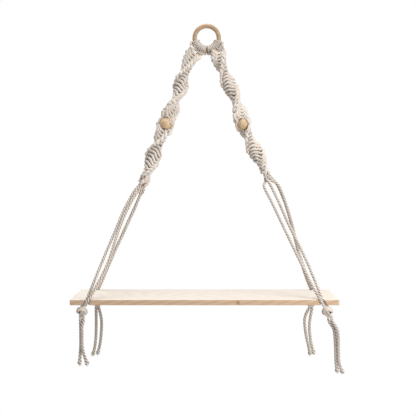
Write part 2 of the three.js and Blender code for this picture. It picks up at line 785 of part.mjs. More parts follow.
function finePoints(points) {
  const fine = [];
  for (let i = 0; i < points.length - 1; i += 1) {
    for (let k = 0; k < measureSteps; k += 1) {
      fine.push(points[i].clone().lerp(points[i + 1], k / measureSteps));
    }
  }
  return fine;
}

function leastDistance(one, two) {
  let least = Infinity;
  for (const a of one) {
    for (const b of two) least = Math.min(least, a.distanceTo(b));
  }
  return least;
}

function leastOwnDistance(points, apart) {
  const along = [0];
  for (let i = 1; i < points.length; i += 1) along.push(along[i - 1] + points[i].distanceTo(points[i - 1]));
  let least = Infinity;
  for (let i = 0; i < points.length; i += 1) {
    for (let k = i + 1; k < points.length; k += 1) {
      if (along[k] - along[i] > apart) least = Math.min(least, points[i].distanceTo(points[k]));
    }
  }
  return least;
}

function measureStrap(name, strap) {
  const working = ['left', 'right'].map((hand) => finePoints(strap.working[hand]));
  const fillers = ['left', 'right'].map((hand) => strap.fillers[hand].getSpacedPoints(fillerMeasureSteps));
  const own = working.map((points) => leastOwnDistance(points, ownReach * strapSpread));
  const toFillers = working.flatMap((points) => fillers.map((filler) => leastDistance(points, filler)));
  const between = leastDistance(...working) - tightCordDiameter;
  const itself = Math.min(...own) - tightCordDiameter;
  const round = Math.min(...toFillers) - (tightCordDiameter + fillerDiameter) / 2;
  console.log(`${name} strap least gap: between working strands ${between.toFixed(2)},`
    + ` a working strand to itself ${itself.toFixed(2)}, to a filler ${round.toFixed(2)}`);
}

makeRing();
for (const [name, strap] of Object.entries(straps)) {
  makeStrap(name, strap);
  measureStrap(name, strap);
}
makeBoard();
for (const [name, corner] of Object.entries(corners)) makeCorner(name, corner);

export default shelf;
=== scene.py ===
# %% [markdown]
# # Hanging rope shelf
# A thin pine board hangs from a wooden ring by two knotted rope straps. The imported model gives
# every piece its place. Rope is what makes this shelf, so its cords are rebuilt here with the
# three plies that are laid up in them, and the ring and the beads are turned anew, because
# the solids carry too few faces to look round.

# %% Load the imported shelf
import math
from functools import partial

import bpy
import numpy as np
from mathutils import Euler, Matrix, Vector


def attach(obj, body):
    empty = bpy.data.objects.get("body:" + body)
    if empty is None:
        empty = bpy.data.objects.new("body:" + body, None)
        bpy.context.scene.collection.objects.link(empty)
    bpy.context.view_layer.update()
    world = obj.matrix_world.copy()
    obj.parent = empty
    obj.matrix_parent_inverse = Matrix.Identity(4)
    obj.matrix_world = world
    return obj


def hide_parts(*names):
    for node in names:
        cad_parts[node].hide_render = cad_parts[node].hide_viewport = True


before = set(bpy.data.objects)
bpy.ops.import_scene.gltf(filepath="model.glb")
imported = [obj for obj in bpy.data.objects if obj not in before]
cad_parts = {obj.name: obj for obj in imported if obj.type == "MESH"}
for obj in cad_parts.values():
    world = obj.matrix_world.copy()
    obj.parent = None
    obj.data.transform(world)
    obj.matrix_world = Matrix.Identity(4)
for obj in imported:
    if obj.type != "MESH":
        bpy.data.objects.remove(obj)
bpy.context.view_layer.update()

# %% [markdown]
# The camera comes first. The shelf is seen from straight in front and from a little above its
# middle, about 1.15 m away, so that the board's top shows as a narrow strip. The camera is
# really tilted down to it. Only the last bit sideways is a shift, so small that other views
# keep the shelf in the middle.

# %% Camera
PICTURE = 416
FOCAL_PIXELS = 814.5
SENSOR = 36.0
CAMERA_PLACE = (-0.00175, -1.1465, -0.2066)
CAMERA_DOWN = 0.0386
CAMERA_SHIFT = 0.0061

camera_data = bpy.data.cameras.new("camera")
camera_data.sensor_width = SENSOR
camera_data.lens = FOCAL_PIXELS * SENSOR / PICTURE
camera_data.shift_x = CAMERA_SHIFT
camera = bpy.data.objects.new("camera", camera_data)
camera.location = CAMERA_PLACE
camera.rotation_euler = Euler((math.radians(90) - CAMERA_DOWN, 0, 0))
bpy.context.scene.collection.objects.link(camera)
bpy.context.scene.camera = camera
bpy.context.scene.view_settings.view_transform = "Standard"
print("lens", round(camera_data.lens, 2), "mm")

# %% [markdown]
# A finish is easier to read as sums than as a tangle of nodes. The small class below wraps a
# node's socket: adding or multiplying two of them adds a Math node. Any other node comes from
# one function that takes its type, its settings and its inputs.

# %% Shader maths as sums
class Value:
    def __init__(self, tree, socket):
        self.tree = tree
        self.socket = socket

    def maths(self, operation, *others):
        return node(self.tree, "ShaderNodeMath", {"operation": operation}, [self, *others])

    def output(self, key):
        """Another output of the same node, by its name or number."""
        return Value(self.tree, self.socket.node.outputs[key])

    def __add__(self, other):
        return self.maths("ADD", other)

    def __radd__(self, other):
        return self.maths("ADD", other)

    def __sub__(self, other):
        return self.maths("SUBTRACT", other)

    def __rsub__(self, other):
        return node(self.tree, "ShaderNodeMath", {"operation": "SUBTRACT"}, [other, self])

    def __mul__(self, other):
        return self.maths("MULTIPLY", other)

    def __rmul__(self, other):
        return self.maths("MULTIPLY", other)

    def __truediv__(self, other):
        return self.maths("DIVIDE", other)

    def __pow__(self, other):
        return self.maths("POWER", other)


def plug(tree, socket, given):
    """Links a value to a socket, or sets the socket to a plain number or colour."""
    if isinstance(given, Value):
        tree.links.new(given.socket, socket)
    else:
        socket.default_value = given


def node(tree, kind, settings=None, inputs=(), out=0):
    """One node: its settings, then its inputs, as a list or by name. Gives the output's value."""
    made = tree.nodes.new(kind)
    for name, setting in (settings or {}).items():
        setattr(made, name, setting)
    pairs = inputs.items() if isinstance(inputs, dict) else enumerate(inputs)
    for key, given in pairs:
        plug(tree, made.inputs[key], given)
    return Value(tree, made.outputs[out]) if made.outputs else None


# %% [markdown]
# The finishes below share a few steps: a colour given as it is seen on a screen, two colours
# mixed by a mask, a soft edge, a noise that is stretched along the grain, and a bump. Each is
# written once.

# %% Steps that the finishes share
def linear(red, green, blue):
    """A colour as seen on a screen, 0 to 255, as the shader's own linear values."""
    shares = [value / 255 for value in (red, green, blue)]
    return tuple(s / 12.92 if s <= 0.04045 else ((s + 0.055) / 1.055) ** 2.4 for s in shares) + (1.0,)


def mixed(share, first, second):
    """Two colours mixed by a value from 0 to 1."""
    return node(share.tree, "ShaderNodeMix", {"data_type": "RGBA", "clamp_factor": True},
                {0: share, 6: first, 7: second}, out=2)


def smooth_step(value, low, high):
    """0 below low, 1 above high, smooth between."""
    return node(value.tree, "ShaderNodeMapRange", {"interpolation_type": "SMOOTHSTEP"},
                {0: value, 1: low, 2: high, 3: 0.0, 4: 1.0})


def object_place(tree):
    """The place on the object, in metres."""
    return node(tree, "ShaderNodeTexCoord", out="Object")


def grain(place, per_metre, detail, distortion=0.0, **settings):
    """A noise that is as fine along each axis as the numbers say."""
    scaled = node(place.tree, "ShaderNodeMapping", {}, {"Vector": place, "Scale": per_metre})
    return node(place.tree, "ShaderNodeTexNoise", settings,
                {"Vector": scaled, "Scale": 1.0, "Detail": detail, "Distortion": distortion})


def bumped(height, strength, distance, invert=False):
    return node(height.tree, "ShaderNodeBump", {"invert": invert},
                {"Height": height, "Strength": strength, "Distance": distance})


def new_finish(name):
    """A material with its main shader; gives the material, its tree and that shader."""
    material = bpy.data.materials.new(name)
    material.use_nodes = True
    tree = material.node_tree
    return material, tree, tree.nodes["Principled BSDF"]


def feed(tree, shader, **values):
    """Sets or links the shader's sockets, named with _ for a space."""
    for name, given in values.items():
        plug(tree, shader.inputs[name.replace("_", " ")], given)


print("white on a screen is", linear(255, 255, 255))

# %% [markdown]
# The light is a plain soft studio: an even pale sky all round, and two square lamps. The key
# lamp stands near the shelf on its right, low and in front, so the left sides of ring, beads
# and cords fall into soft shade. The wide top lamp hangs above and lights the board's top. Sky
# alone would be simpler, but then the cords would look flat. What the camera sees behind is
# white by the kind of ray, so no extra light falls on the shelf.

# %% Sky
SKY = 0.35
WHITE = (1, 1, 1, 1)

world = bpy.data.worlds.new("studio")
world.use_nodes = True
bpy.context.scene.world = world
sky = world.node_tree
sky.nodes.clear()


def seen_directly(tree):
    """1 for rays from the camera, or by way of gloss or glass."""
    rays = node(tree, "ShaderNodeLightPath")
    seen = rays.output("Is Camera Ray").maths("MAXIMUM", rays.output("Is Glossy Ray"))
    return seen.maths("MAXIMUM", rays.output("Is Transmission Ray"))


lights = node(sky, "ShaderNodeBackground", {}, {"Color": WHITE, "Strength": SKY})
shows = node(sky, "ShaderNodeBackground", {}, {"Color": WHITE, "Strength": 1.0})
node(sky, "ShaderNodeOutputWorld", {},
     {"Surface": node(sky, "ShaderNodeMixShader", {}, [seen_directly(sky), lights, shows])})
print("sky of strength", SKY)

# %% Lamps
lamps = {
    "key": {"place": (0.62, -0.62, -0.10), "aim": (0, -0.03, -0.25), "size": 0.45, "power": 4.8},
    "top": {"place": (-0.15, -0.1, 0.9), "aim": (0, -0.05, -0.35), "size": 0.9, "power": 9.5},
}

for name, lamp in lamps.items():
    light = bpy.data.lights.new(name, "AREA")
    light.shape = "SQUARE"
    light.size = lamp["size"]
    light.energy = lamp["power"]
    made = bpy.data.objects.new(name, light)
    made.location = lamp["place"]
    made.rotation_euler = (Vector(lamp["aim"]) - Vector(lamp["place"])).to_track_quat("-Z", "Y").to_euler()
    bpy.context.scene.collection.objects.link(made)
    print(name, "lamp of", lamp["power"], "W")

# %% [markdown]
# The floor lies so far below the hanging shelf that the shadow on it is faint. A shadow needs
# the floor's own pale paint, but paint alone would end in a grey edge. So the camera sees half
# paint, half plain white below the shelf, and only white further out.

# %% Floor
FLOOR_Z = -0.85
FLOOR_SIZE = 4
FLOOR_GREY = (0.7, 0.7, 0.7, 1)
FLOOR_WHITE_SHARE = 0.5
FLOOR_FADES_FROM, FLOOR_FADES_TO = 0.80, 1.0

bpy.ops.object.select_all(action="DESELECT")
bpy.ops.mesh.primitive_plane_add(size=FLOOR_SIZE, location=(0, 0, FLOOR_Z))
floor = bpy.context.object
floor.name = "floor"
bpy.ops.object.transform_apply(location=True, rotation=False, scale=False)
floor_paint, floor_tree, floor_shader = new_finish("floor_paint")
feed(floor_tree, floor_shader, Base_Color=FLOOR_GREY, Roughness=0.9)
from_middle = node(floor_tree, "ShaderNodeVectorMath", {"operation": "LENGTH"}, [object_place(floor_tree)],
                   out="Value")
far = smooth_step(from_middle, FLOOR_FADES_FROM, FLOOR_FADES_TO)
cover = seen_directly(floor_tree) * (FLOOR_WHITE_SHARE + (1 - FLOOR_WHITE_SHARE) * far)
shine = node(floor_tree, "ShaderNodeEmission", {}, {"Color": WHITE, "Strength": 1.0})
painted = Value(floor_tree, floor_shader.outputs[0])
floor_mix = node(floor_tree, "ShaderNodeMixShader", {}, [cover, painted, shine])
floor_tree.links.new(floor_mix.socket, floor_tree.nodes["Material Output"].inputs["Surface"])
floor.data.materials.append(floor_paint)
print("floor at", FLOOR_Z)

# %% [markdown]
# Cotton cord is white with a warm cast, matt and a little hairy. Its fibres run along each
# ply, so the pattern follows the cord's own map: one way round the cord, turning with the
# plies, and the other along it. The valleys between the plies get painted shade. How deep a
# place lies in a valley, or between two cords, is kept on the mesh as an attribute that darkens
# the colour, because a real shadow that fine would be lost in a render of this size.

# %% Rope finish
ROPE_LIGHT = linear(254, 246, 236)
ROPE_WARM = linear(245, 231, 216)
# the colour of the painted shade in the plies' valleys and deep between the cords
ROPE_VALLEY_SHADE = linear(104, 80, 66)
FIBRES_PER_MAP = (30, 6, 1)
WARM_PATCHES_PER_METRE = (90, 90, 90)
FIBRE_RELIEF = 0.0004


def rope_finish():
    material, tree, shader = new_finish("cotton_rope")
    along = node(tree, "ShaderNodeUVMap", {"uv_map": "cord"})
    fibres = grain(along, FIBRES_PER_MAP, 3.0, noise_dimensions="2D")
    patches = grain(object_place(tree), WARM_PATCHES_PER_METRE, 2.0)
    valley = node(tree, "ShaderNodeAttribute", {"attribute_name": "valley"}, out=2)
    cotton = mixed(smooth_step(patches, 0.35, 0.75), ROPE_LIGHT, ROPE_WARM)
    # painted shade: the valley attribute mixes the cotton towards the shade colour
    colour = mixed(valley + (fibres - 0.5) * 0.3, cotton, ROPE_VALLEY_SHADE)
    feed(tree, shader, Base_Color=colour, Roughness=0.92 - 0.1 * fibres,
         Normal=bumped(fibres, 0.35, FIBRE_RELIEF), Sheen_Weight=0.25, Specular_IOR_Level=0.2)
    return material


rope = rope_finish()
print("rope finish with", len(rope.node_tree.nodes), "nodes")

# %% [markdown]
# The ring and the beads are turned from a pale hardwood with a thin clear coat. Turned wood
# shows its long lines, close together, and small dark pores. Both are noises that are fine
# across the grain and long along it, over slow bands for the growth rings.

# %% Turned wood finish
WOOD_PORE = linear(150, 108, 72)
LINES_PER_METRE = (12, 150, 150)
PORES_PER_METRE = (160, 1400, 1400)
PORE_DEPTH = 0.0002


def turned_finish(name, light, dark, turn, bands_per_metre):
    material, tree, shader = new_finish(name)
    laid = node(tree, "ShaderNodeMapping", {}, {"Vector": object_place(tree), "Rotation": turn})
    lines = grain(laid, LINES_PER_METRE, 3.0, distortion=0.3)
    bands = node(tree, "ShaderNodeTexWave", {"wave_type": "BANDS", "bands_direction": "Z"},
                 {"Vector": laid, "Scale": bands_per_metre, "Distortion": 2.0, "Detail": 2.0,
                  "Detail Scale": 1.5})
    pore = smooth_step(grain(laid, PORES_PER_METRE, 1.0), 0.62, 0.74)
    wood = mixed(smooth_step(lines, 0.3, 0.7) * 0.6 + bands * 0.35, light, dark)
    feed(tree, shader, Base_Color=mixed(pore * 0.35, wood, WOOD_PORE), Roughness=0.42 + 0.2 * lines,
         Normal=bumped(pore, 0.3, PORE_DEPTH, invert=True), Coat_Weight=0.25, Coat_Roughness=0.3)
    return material


ring_wood = turned_finish("ring_wood", linear(197, 165, 131), linear(176, 142, 108), (0, 0, 0), 45.0)
bead_wood = turned_finish("bead_wood", linear(232, 202, 164), linear(216, 182, 142), (0.3, 1.2, 0.2), 60.0)
print("turned finishes:", ring_wood.name, bead_wood.name)

# %% [markdown]
# The board is planed pine, cut from a log whose middle lay below it, so its growth rings run
# along the faces, arch at one end and curve over on the sawn ends. The ring pattern is the
# distance from the log's middle line, bent by a slow noise and cut into bands: pale early
# wood and a narrow, darker line of late wood. A picture of wood would be quicker, but it would
# not carry on over the edges. The long edges get painted shade, darker than the top, and one
# small knot lies in the front edge.

# %% Where the board lies
board_length, board_depth, board_thickness = 0.350, 0.100, 0.007
board_centre_x = -0.0029
board_rear_y = 0.0035
board_front_y = board_rear_y - board_depth
board_underside_z = -0.3734
board_top_z = board_underside_z + board_thickness
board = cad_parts["board"]
print("board", board_length, "x", board_depth, "m, top at", round(board_top_z, 4))

# %% Pine finish
PINE_PALE = linear(250, 241, 231)
PINE_LINE = linear(245, 230, 211)
# the colour of the painted shade on the board's long front and rear faces
PINE_EDGE_SHADE = linear(213, 176, 139)
PINE_KNOT = linear(150, 104, 62)
LOG_Y, LOG_Z = -0.052, -0.418
LOG_SLANT_Y, LOG_SLANT_Z, LOG_CROSSING_X = 0.10, 0.16, -0.02
LOG_WAVES = 0.018
RING_WIDTH = 0.0042
SLOW_PER_METRE = (5, 16, 16)
FIBRES_PER_METRE = (30, 900, 900)
EDGE_SKIN, EDGE_SKIN_SOFT = 0.0002, 0.0007
KNOT_AT = (0.0405, board_front_y, -0.3702)
KNOT_STRETCH = (1.0, 0.45, 1.1)
KNOT_CORE, KNOT_RIM, KNOT_RAGGED = 0.0012, 0.0040, 0.001
GRAIN_RELIEF = 0.0003


def growth_rings(place):
    """Late wood as 1 and early wood as 0, in bands round the log's slanting middle line."""
    axes = node(place.tree, "ShaderNodeSeparateXYZ", {}, [place])
    x, y, z = (axes.output(k) for k in range(3))
    off_y = y - LOG_Y + LOG_SLANT_Y * (x - LOG_CROSSING_X)
    off_z = z - LOG_Z - LOG_SLANT_Z * x
    reach = (off_y * off_y + off_z * off_z) ** 0.5
    bent = reach + (grain(place, SLOW_PER_METRE, 2.0) - 0.5) * LOG_WAVES
    band = (bent / RING_WIDTH).maths("FRACT")
    return smooth_step(band, 0.35, 0.93) * (1 - smooth_step(band, 0.95, 1.0))


def pine_finish():
    material, tree, shader = new_finish("planed_pine")
    place = object_place(tree)
    late = growth_rings(place)
    fibres = grain(place, FIBRES_PER_METRE, 3.0)
    colour = mixed(late * 0.75 + (fibres - 0.5) * 0.3, PINE_PALE, PINE_LINE)
    y = node(tree, "ShaderNodeSeparateXYZ", {}, [place]).output("Y")
    off_middle = (y - (board_front_y + board_rear_y) / 2).maths("ABSOLUTE")
    # painted shade: the long front and rear faces are mixed towards the darker edge colour
    edge = smooth_step(off_middle, board_depth / 2 - EDGE_SKIN_SOFT, board_depth / 2 - EDGE_SKIN)
    colour = mixed(edge * (0.8 + 0.2 * late), colour, PINE_EDGE_SHADE)
    from_knot = node(tree, "ShaderNodeVectorMath", {"operation": "SUBTRACT"}, [place, KNOT_AT])
    stretched = node(tree, "ShaderNodeVectorMath", {"operation": "MULTIPLY"}, [from_knot, KNOT_STRETCH])
    reach = node(tree, "ShaderNodeVectorMath", {"operation": "LENGTH"}, [stretched], out="Value")
    knot = 1 - smooth_step(reach + (fibres - 0.5) * KNOT_RAGGED, KNOT_CORE, KNOT_RIM)
    colour = mixed(knot * 0.6, colour, PINE_KNOT)
    feed(tree, shader, Base_Color=colour, Roughness=0.62 + 0.12 * fibres,
         Normal=bumped(late * 0.5 + fibres * 0.5, 0.18, GRAIN_RELIEF), Specular_IOR_Level=0.35)
    return material


pine = pine_finish()
board.data.materials.clear()
board.data.materials.append(pine)
print("board finish with", len(pine.node_tree.nodes), "nodes")

# %% [markdown]
# Sizes of the shelf's other pieces, in metres. They are the same as in its solids, so that each
# new piece lies where the solid that it stands for lies. Only the cords are drawn a little
# fuller, because cotton is soft: a crown is the thickness over the plies' highest places. The
# clearance keeps a cord off the ring and the beads, and the gap parts the solids of one cord.

# %% Sizes
MM = 0.001
VIEWER = np.array([0.0, -1.0, 0.0])

ring_tube_radius = 0.0033
ring_radius = 0.0167
ring_centre = np.array([0.0, 0.0, ring_tube_radius - ring_radius])

cord_diameter = 0.0035
leg_crown = 0.0041
tail_crown = 0.0045
knot_crown = 0.0040
strap_crown = 0.0040
head_crown = 0.0029
solid_tight_diameter = 0.0027
cord_clearance = 0.00045
piece_gap = 0.0003
print("ring", round(2 * (ring_radius + ring_tube_radius), 4), "m outside, cord", cord_diameter, "m")

# %% [markdown]
# Every cord follows a smooth curve through a list of points. The curve is cut into even
# steps, because the plies of a cord turn evenly along it. A curve object with a round bevel
# would give a cord too, but no plies that turn.

# %% Curves through points
SPAN_STEPS = 16


def curve_through(points):
    """A smooth curve through points, with short steps from each to the next."""
    given = np.array(points, float)
    given = np.vstack([2 * given[0] - given[1], given, 2 * given[-1] - given[-2]])
    curve = [given[1]]
    for a, b, c, d in zip(given, given[1:], given[2:], given[3:]):
        before, here, after = (np.linalg.norm(v) ** 0.5 for v in (b - a, c - b, d - c))
        leave = ((b - a) / before - (c - a) / (before + here) + (c - b) / here) * here
        arrive = ((c - b) / here - (d - b) / (here + after) + (d - c) / after) * here
        for k in range(1, SPAN_STEPS + 1):
            s = k / SPAN_STEPS
            curve.append((2 * s**3 - 3 * s**2 + 1) * b + (s**3 - 2 * s**2 + s) * leave
                         + (3 * s**2 - 2 * s**3) * c + (s**3 - s**2) * arrive)
    return np.array(curve)


def lengths_along(curve):
    return np.concatenate([[0], np.cumsum(np.linalg.norm(np.diff(curve, axis=0), axis=1))])


def evenly(curve, step):
    """The same curve in even steps."""
    lengths = lengths_along(curve)
    at = np.linspace(0, lengths[-1], max(2, round(lengths[-1] / step)) + 1)
    return np.column_stack([np.interp(at, lengths, curve[:, k]) for k in range(3)])


def unit(v):
    return v / np.linalg.norm(v)


def clamped(value, low=0, high=1):
    return min(max(value, low), high)


print("a curve through 3 points has", len(curve_through([(0, 0, 0), (1, 0, 0), (1, 1, 0)])), "points")

# %% [markdown]
# Each strap is a row of half knots, always started from the same side, so the row turns as it
# goes down, 30 degrees or so with each knot. Its middle line is a list of given points. A
# strap has an upper run of knots, a bead, and a lower run. Each run has the number of its half
# knots and the turn at its first knot in degrees, and past the bead the turn is spread evenly.
# A strand passes the bead on the side that its pass turn gives. A lag holds the left strap's
# turn back by some degrees over a stretch, because hand-tied knots don't turn evenly. The
# taper is the share by which the strap's end is narrower.

# %% The straps' routes
strap_spread = 0.0035
half_knot_pitch = 0.0078
knots_from = 0.0105
filler_spacing = 0.00385
strand_tail = 0.010
bead_radius = 0.00875
bead_reach = bead_radius + cord_clearance + solid_tight_diameter / 2

straps = {
    "left": {
        "side": -1, "taper": 0.4, "half_knots": (12, 10), "start_turns": (19, 385), "turn_per_knot": 30.5,
        "pass_turns": {"left": 158, "right": -8}, "lags": [(0.004, 0.064, 25), (0.118, 0.152, 18)],
        "route": [(-0.0160, -0.0020, -0.032), (-0.0200, -0.0027, -0.039), (-0.0285, -0.0050, -0.059),
                  (-0.0425, -0.0085, -0.097), (-0.0565, -0.0125, -0.134), (-0.0655, -0.0150, -0.160),
                  (-0.0750, -0.0180, -0.181), (-0.0845, -0.0205, -0.205), (-0.0905, -0.0220, -0.221)],
    },
    "right": {
        "side": 1, "taper": 0.3, "half_knots": (12, 8), "start_turns": (17, 425), "turn_per_knot": 30,
        "pass_turns": {"left": 150, "right": 0}, "lags": [],
        "route": [(0.0135, -0.0020, -0.032), (0.0170, -0.0027, -0.040), (0.0245, -0.0050, -0.060),
                  (0.0400, -0.0085, -0.101), (0.0525, -0.0125, -0.137), (0.0585, -0.0145, -0.151),
                  (0.0660, -0.0170, -0.168), (0.0770, -0.0195, -0.193), (0.0835, -0.0210, -0.209)],
    },
}

# %% Where a strap's knots and bead lie along it
LINE_STEP = 0.0001
hook_reach_shares, hook_height_shares = (1.46, 1.66), (-0.46, -0.47)
hook_reaches = [share * strap_spread for share in hook_reach_shares]
hook_heights = [share * half_knot_pitch for share in hook_height_shares]

for strap in straps.values():
    strap["line"] = evenly(curve_through(strap["route"]), LINE_STEP)
    strap["lengths"] = lengths_along(strap["line"])
    clear = [math.sqrt(bead_reach**2 - hook**2) for hook in hook_reaches]
    strap["bead_from"] = knots_from + strap["half_knots"][0] * half_knot_pitch
    strap["bead_at"] = strap["bead_from"] + hook_heights[0] + clear[0]
    strap["lower_from"] = strap["bead_at"] + clear[1] - hook_heights[1]
    strap["ends_at"] = strap["lower_from"] + (strap["half_knots"][1] - 1) * half_knot_pitch + strand_tail
    print("strap of", round(strap["ends_at"], 4), "m, bead at", round(strap["bead_at"], 4))

# %% A place in a strap
WAY_STEPS = 5


def strap_frame(strap, distance):
    """Where the strap's middle is, and its ways to the right, to the front and down."""
    lengths, line = strap["lengths"], strap["line"]
    at = clamped(distance, 0, lengths[-1])
    i = clamped(int(np.searchsorted(lengths, at)), WAY_STEPS, len(line) - 1 - WAY_STEPS)
    middle = np.array([np.interp(at, lengths, line[:, k]) for k in range(3)])
    down = unit(line[i + WAY_STEPS] - line[i - WAY_STEPS])
    right = unit(np.cross(VIEWER, down))
    return middle, right, np.cross(down, right), down


def strap_turn(strap, distance):
    """How far the strap has turned at a distance down it, in radians."""
    upper, lower = strap["start_turns"]
    per_knot = strap["turn_per_knot"]
    upper_end = upper + per_knot * strap["half_knots"][0]
    turn = upper + per_knot * (distance - knots_from) / half_knot_pitch
    if distance > strap["bead_from"]:
        share = (distance - strap["bead_from"]) / (strap["lower_from"] - strap["bead_from"])
        turn = upper_end + (lower - upper_end) * share
    if distance > strap["lower_from"]:
        turn = lower + per_knot * (distance - strap["lower_from"]) / half_knot_pitch
    for start, end, lag in strap["lags"]:
        if start < distance < end:
            turn -= lag * math.sin(math.pi * (distance - start) / (end - start)) ** 2
    return math.radians(turn)


def in_strap(strap, x, y, distance):
    """A place in the strap, x across it and y to its front, before it turns."""
    middle, right, front, _ = strap_frame(strap, distance)
    turn = strap_turn(strap, distance)
    across = x * math.cos(turn) - y * math.sin(turn)
    ahead = x * math.sin(turn) + y * math.cos(turn)
    return middle + across * right + ahead * front


for name, strap in straps.items():
    turned = strap_turn(strap, strap["ends_at"]) - strap_turn(strap, knots_from)
    print(name, "strap turns", round(math.degrees(turned)), "degrees")

# %% [markdown]
# In a half knot one working strand crosses in front of the two fillers and the other crosses
# behind them, and each hooks round its partner at the sides. The tables follow one strand over
# two half knots, in shares of a strap's spread and of a knot's height. The partner does the
# same, one half knot later. Entry, leaving and parting are its places before a run's first
# knot and after its last. Tied in soft cord the knots come out finer, wider and flatter than
# round rods allow, and each bar falls to the right, so the places are pressed into that shape.

# %% The way of a working strand
front_crossing = [(2.15, 0.85, -0.09), (1.45, 0.75, 0.07), (0.75, 1.05, 0.02),
                  (-0.8, 1.1, 0.02), (-1.35, 1.3, 0.09), (-1.6, 1.8, 0.22)]
rear_crossing = [(-1.2, 2.2, -0.35), (-0.25, 2.0, 0.33), (-0.55, 1.35, 0.52), (-1.75, 0.15, 0.38),
                 (-1.3, -0.75, 0.26), (-0.3, -1.15, 0.02), (0.8, -1.1, -0.07), (1.75, -0.2, -0.25),
                 (1.15, 1.2, -0.46), (1.4, 1.8, -0.22), (2.25, 1.4, 0.57)]
entry = {"left": (-2.1, 1.7, -0.7), "right": (2.5, 1.3, -0.5)}
leaving = {"left": (-1.95, 1.8, 0.62), "right": (2.2, 1.2, 0.85)}
parting = {"left": (-1.85, 1.0, 1.0), "right": (2.0, 0.9, 1.1)}
strand_ends = {"left": (-1.65, 0.55), "right": (1.75, 0.6)}
pass_slopes = (-40, -12, 15)
print("two half knots take", len(front_crossing) + len(rear_crossing), "places")

# %% Half knots pressed into shape
WIDER = 1.38
FLATTER = 0.86
HOOKS_FLATTER = 0.25
MIDDLE_SHARE = 0.25
BAR_SLOPE = 0.55

UNEVEN_WIDTH, UNEVEN_SLOPE = 0.08, 0.32
WIDTH_WAVE, SLOPE_WAVE, SLOPE_PHASE = 1.9, 1.1, 2
STRAP_PHASE, RUN_PHASE = 11, 400

TAPER_FROM, TAPER_OVER = 0.024, 0.014
LEVEL_FROM, LEVEL_OVER = 0.013, 0.008
LEVELLED = 0.85


def knot_places(strap, table, knot, start, pitch):
    """A table's places in the knot with this number, in a run from start with this pitch."""
    places = []
    for x, y, z in table:
        wave = knot + z + STRAP_PHASE * strap["side"] + RUN_PHASE * start
        before_end = strap["ends_at"] - start - (knot + z) * pitch
        narrower = 1 - strap["taper"] * clamped((TAPER_FROM - before_end) / TAPER_OVER)
        level = 1 - LEVELLED * clamped((LEVEL_FROM - before_end) / LEVEL_OVER)
        width = strap_spread * WIDER * narrower * (1 + UNEVEN_WIDTH * math.sin(WIDTH_WAVE * wave))
        across = (x - MIDDLE_SHARE) * width
        ahead = (y if y < 1 else 1 + (y - 1) * HOOKS_FLATTER) * strap_spread * FLATTER
        uneven = 1 + UNEVEN_SLOPE * math.sin(SLOPE_WAVE * wave + SLOPE_PHASE)
        falls = BAR_SLOPE * level * across * clamped(y, -1) * uneven
        places.append(in_strap(strap, across, ahead, start + (knot + z) * pitch + falls))
    return places


print("bars fall by", BAR_SLOPE, "of their width")

# %% [markdown]
# A strand is followed down both runs. The finer knots begin a little earlier than the solids'
# knots do, so that no bare filler shows below the ring or below the bead. Past the bead the
# working strand goes round its side. The last knots grow narrower and level out, and the
# strand's last two places are drawn in, as the pull of the legs draws in a real strap's end.

# %% Working and filler strands
KNOT_HEIGHT = 0.0047
EARLIER = {"upper": 0.0065, "lower": 0.0012}
DRAWN_IN = 0.6
FILLER_FROM_SHARE = 0.65
FILLER_LEAD, FILLER_STOP = 0.0015, 0.003
FILLER_PLACES = 18


def past_bead(strap, hand):
    """The strand's way round the bead's side."""
    side = math.radians(strap["pass_turns"][hand])
    places = []
    for angle in pass_slopes:
        out = bead_reach * math.cos(math.radians(angle))
        distance = strap["bead_at"] + bead_reach * math.sin(math.radians(angle))
        places.append(in_strap(strap, out * math.cos(side), out * math.sin(side), distance))
    return places


def filler_x(hand):
    return filler_spacing / 2 if hand == "right" else -filler_spacing / 2


def strand_end(strap, hand, kind, beyond=0.0):
    """Where a strand leaves the strap's lower end."""
    x, y = filler_x(hand), 0
    if kind == "worker":
        x, y = (share * strap_spread * (1 - strap["taper"]) for share in strand_ends[hand])
    return in_strap(strap, x, y, strap["ends_at"]) + strap_frame(strap, strap["ends_at"])[3] * beyond


def working_route(strap, hand):
    """A working strand from below the ring to the strap's lower end."""
    first = 0 if hand == "right" else 1
    places = []
    for run, solid_start, knots in zip(EARLIER, (knots_from, strap["lower_from"]), strap["half_knots"]):
        start = solid_start - EARLIER[run]
        end = solid_start + knots * half_knot_pitch
        count = 2 * round((end - start) / KNOT_HEIGHT / 2)
        pitch = (end - start) / count
        places += knot_places(strap, [entry[hand]], 0, start, pitch)
        for knot in range(count):
            table = front_crossing if (knot + first) % 2 == 0 else rear_crossing
            places += knot_places(strap, table, knot, start, pitch)
        if run == "upper":
            places += knot_places(strap, [leaving[hand]], count - 1, start, pitch)
            places += past_bead(strap, hand)
    for x, y, z in (leaving[hand], parting[hand]):
        places += knot_places(strap, [(x * DRAWN_IN, y, z)], count - 1, start, pitch)
    return places


def filler_route(strap, hand):
    """A filler runs straight down the strap's middle beside its neighbour."""
    gathered = knots_from - FILLER_FROM_SHARE * half_knot_pitch
    distances = np.linspace(gathered, strap["ends_at"] - FILLER_STOP, FILLER_PLACES)
    return [in_strap(strap, filler_x(hand), 0, d) for d in (gathered - FILLER_LEAD, *distances)]


print("a working strand has", len(working_route(straps["left"], "left")), "places")

# %% [markdown]
# At the ring each cord is folded in half and hitched on with a lark's head: its two halves go
# round the ring side by side, and the fold lies as a bar over both in front. Each half goes
# round twice here, because thin turns lie close together on the real ring. The table gives,
# for half a head, how far along the ring it is, how far round the ring's tube in degrees, and
# how much of the bar's lift it has.

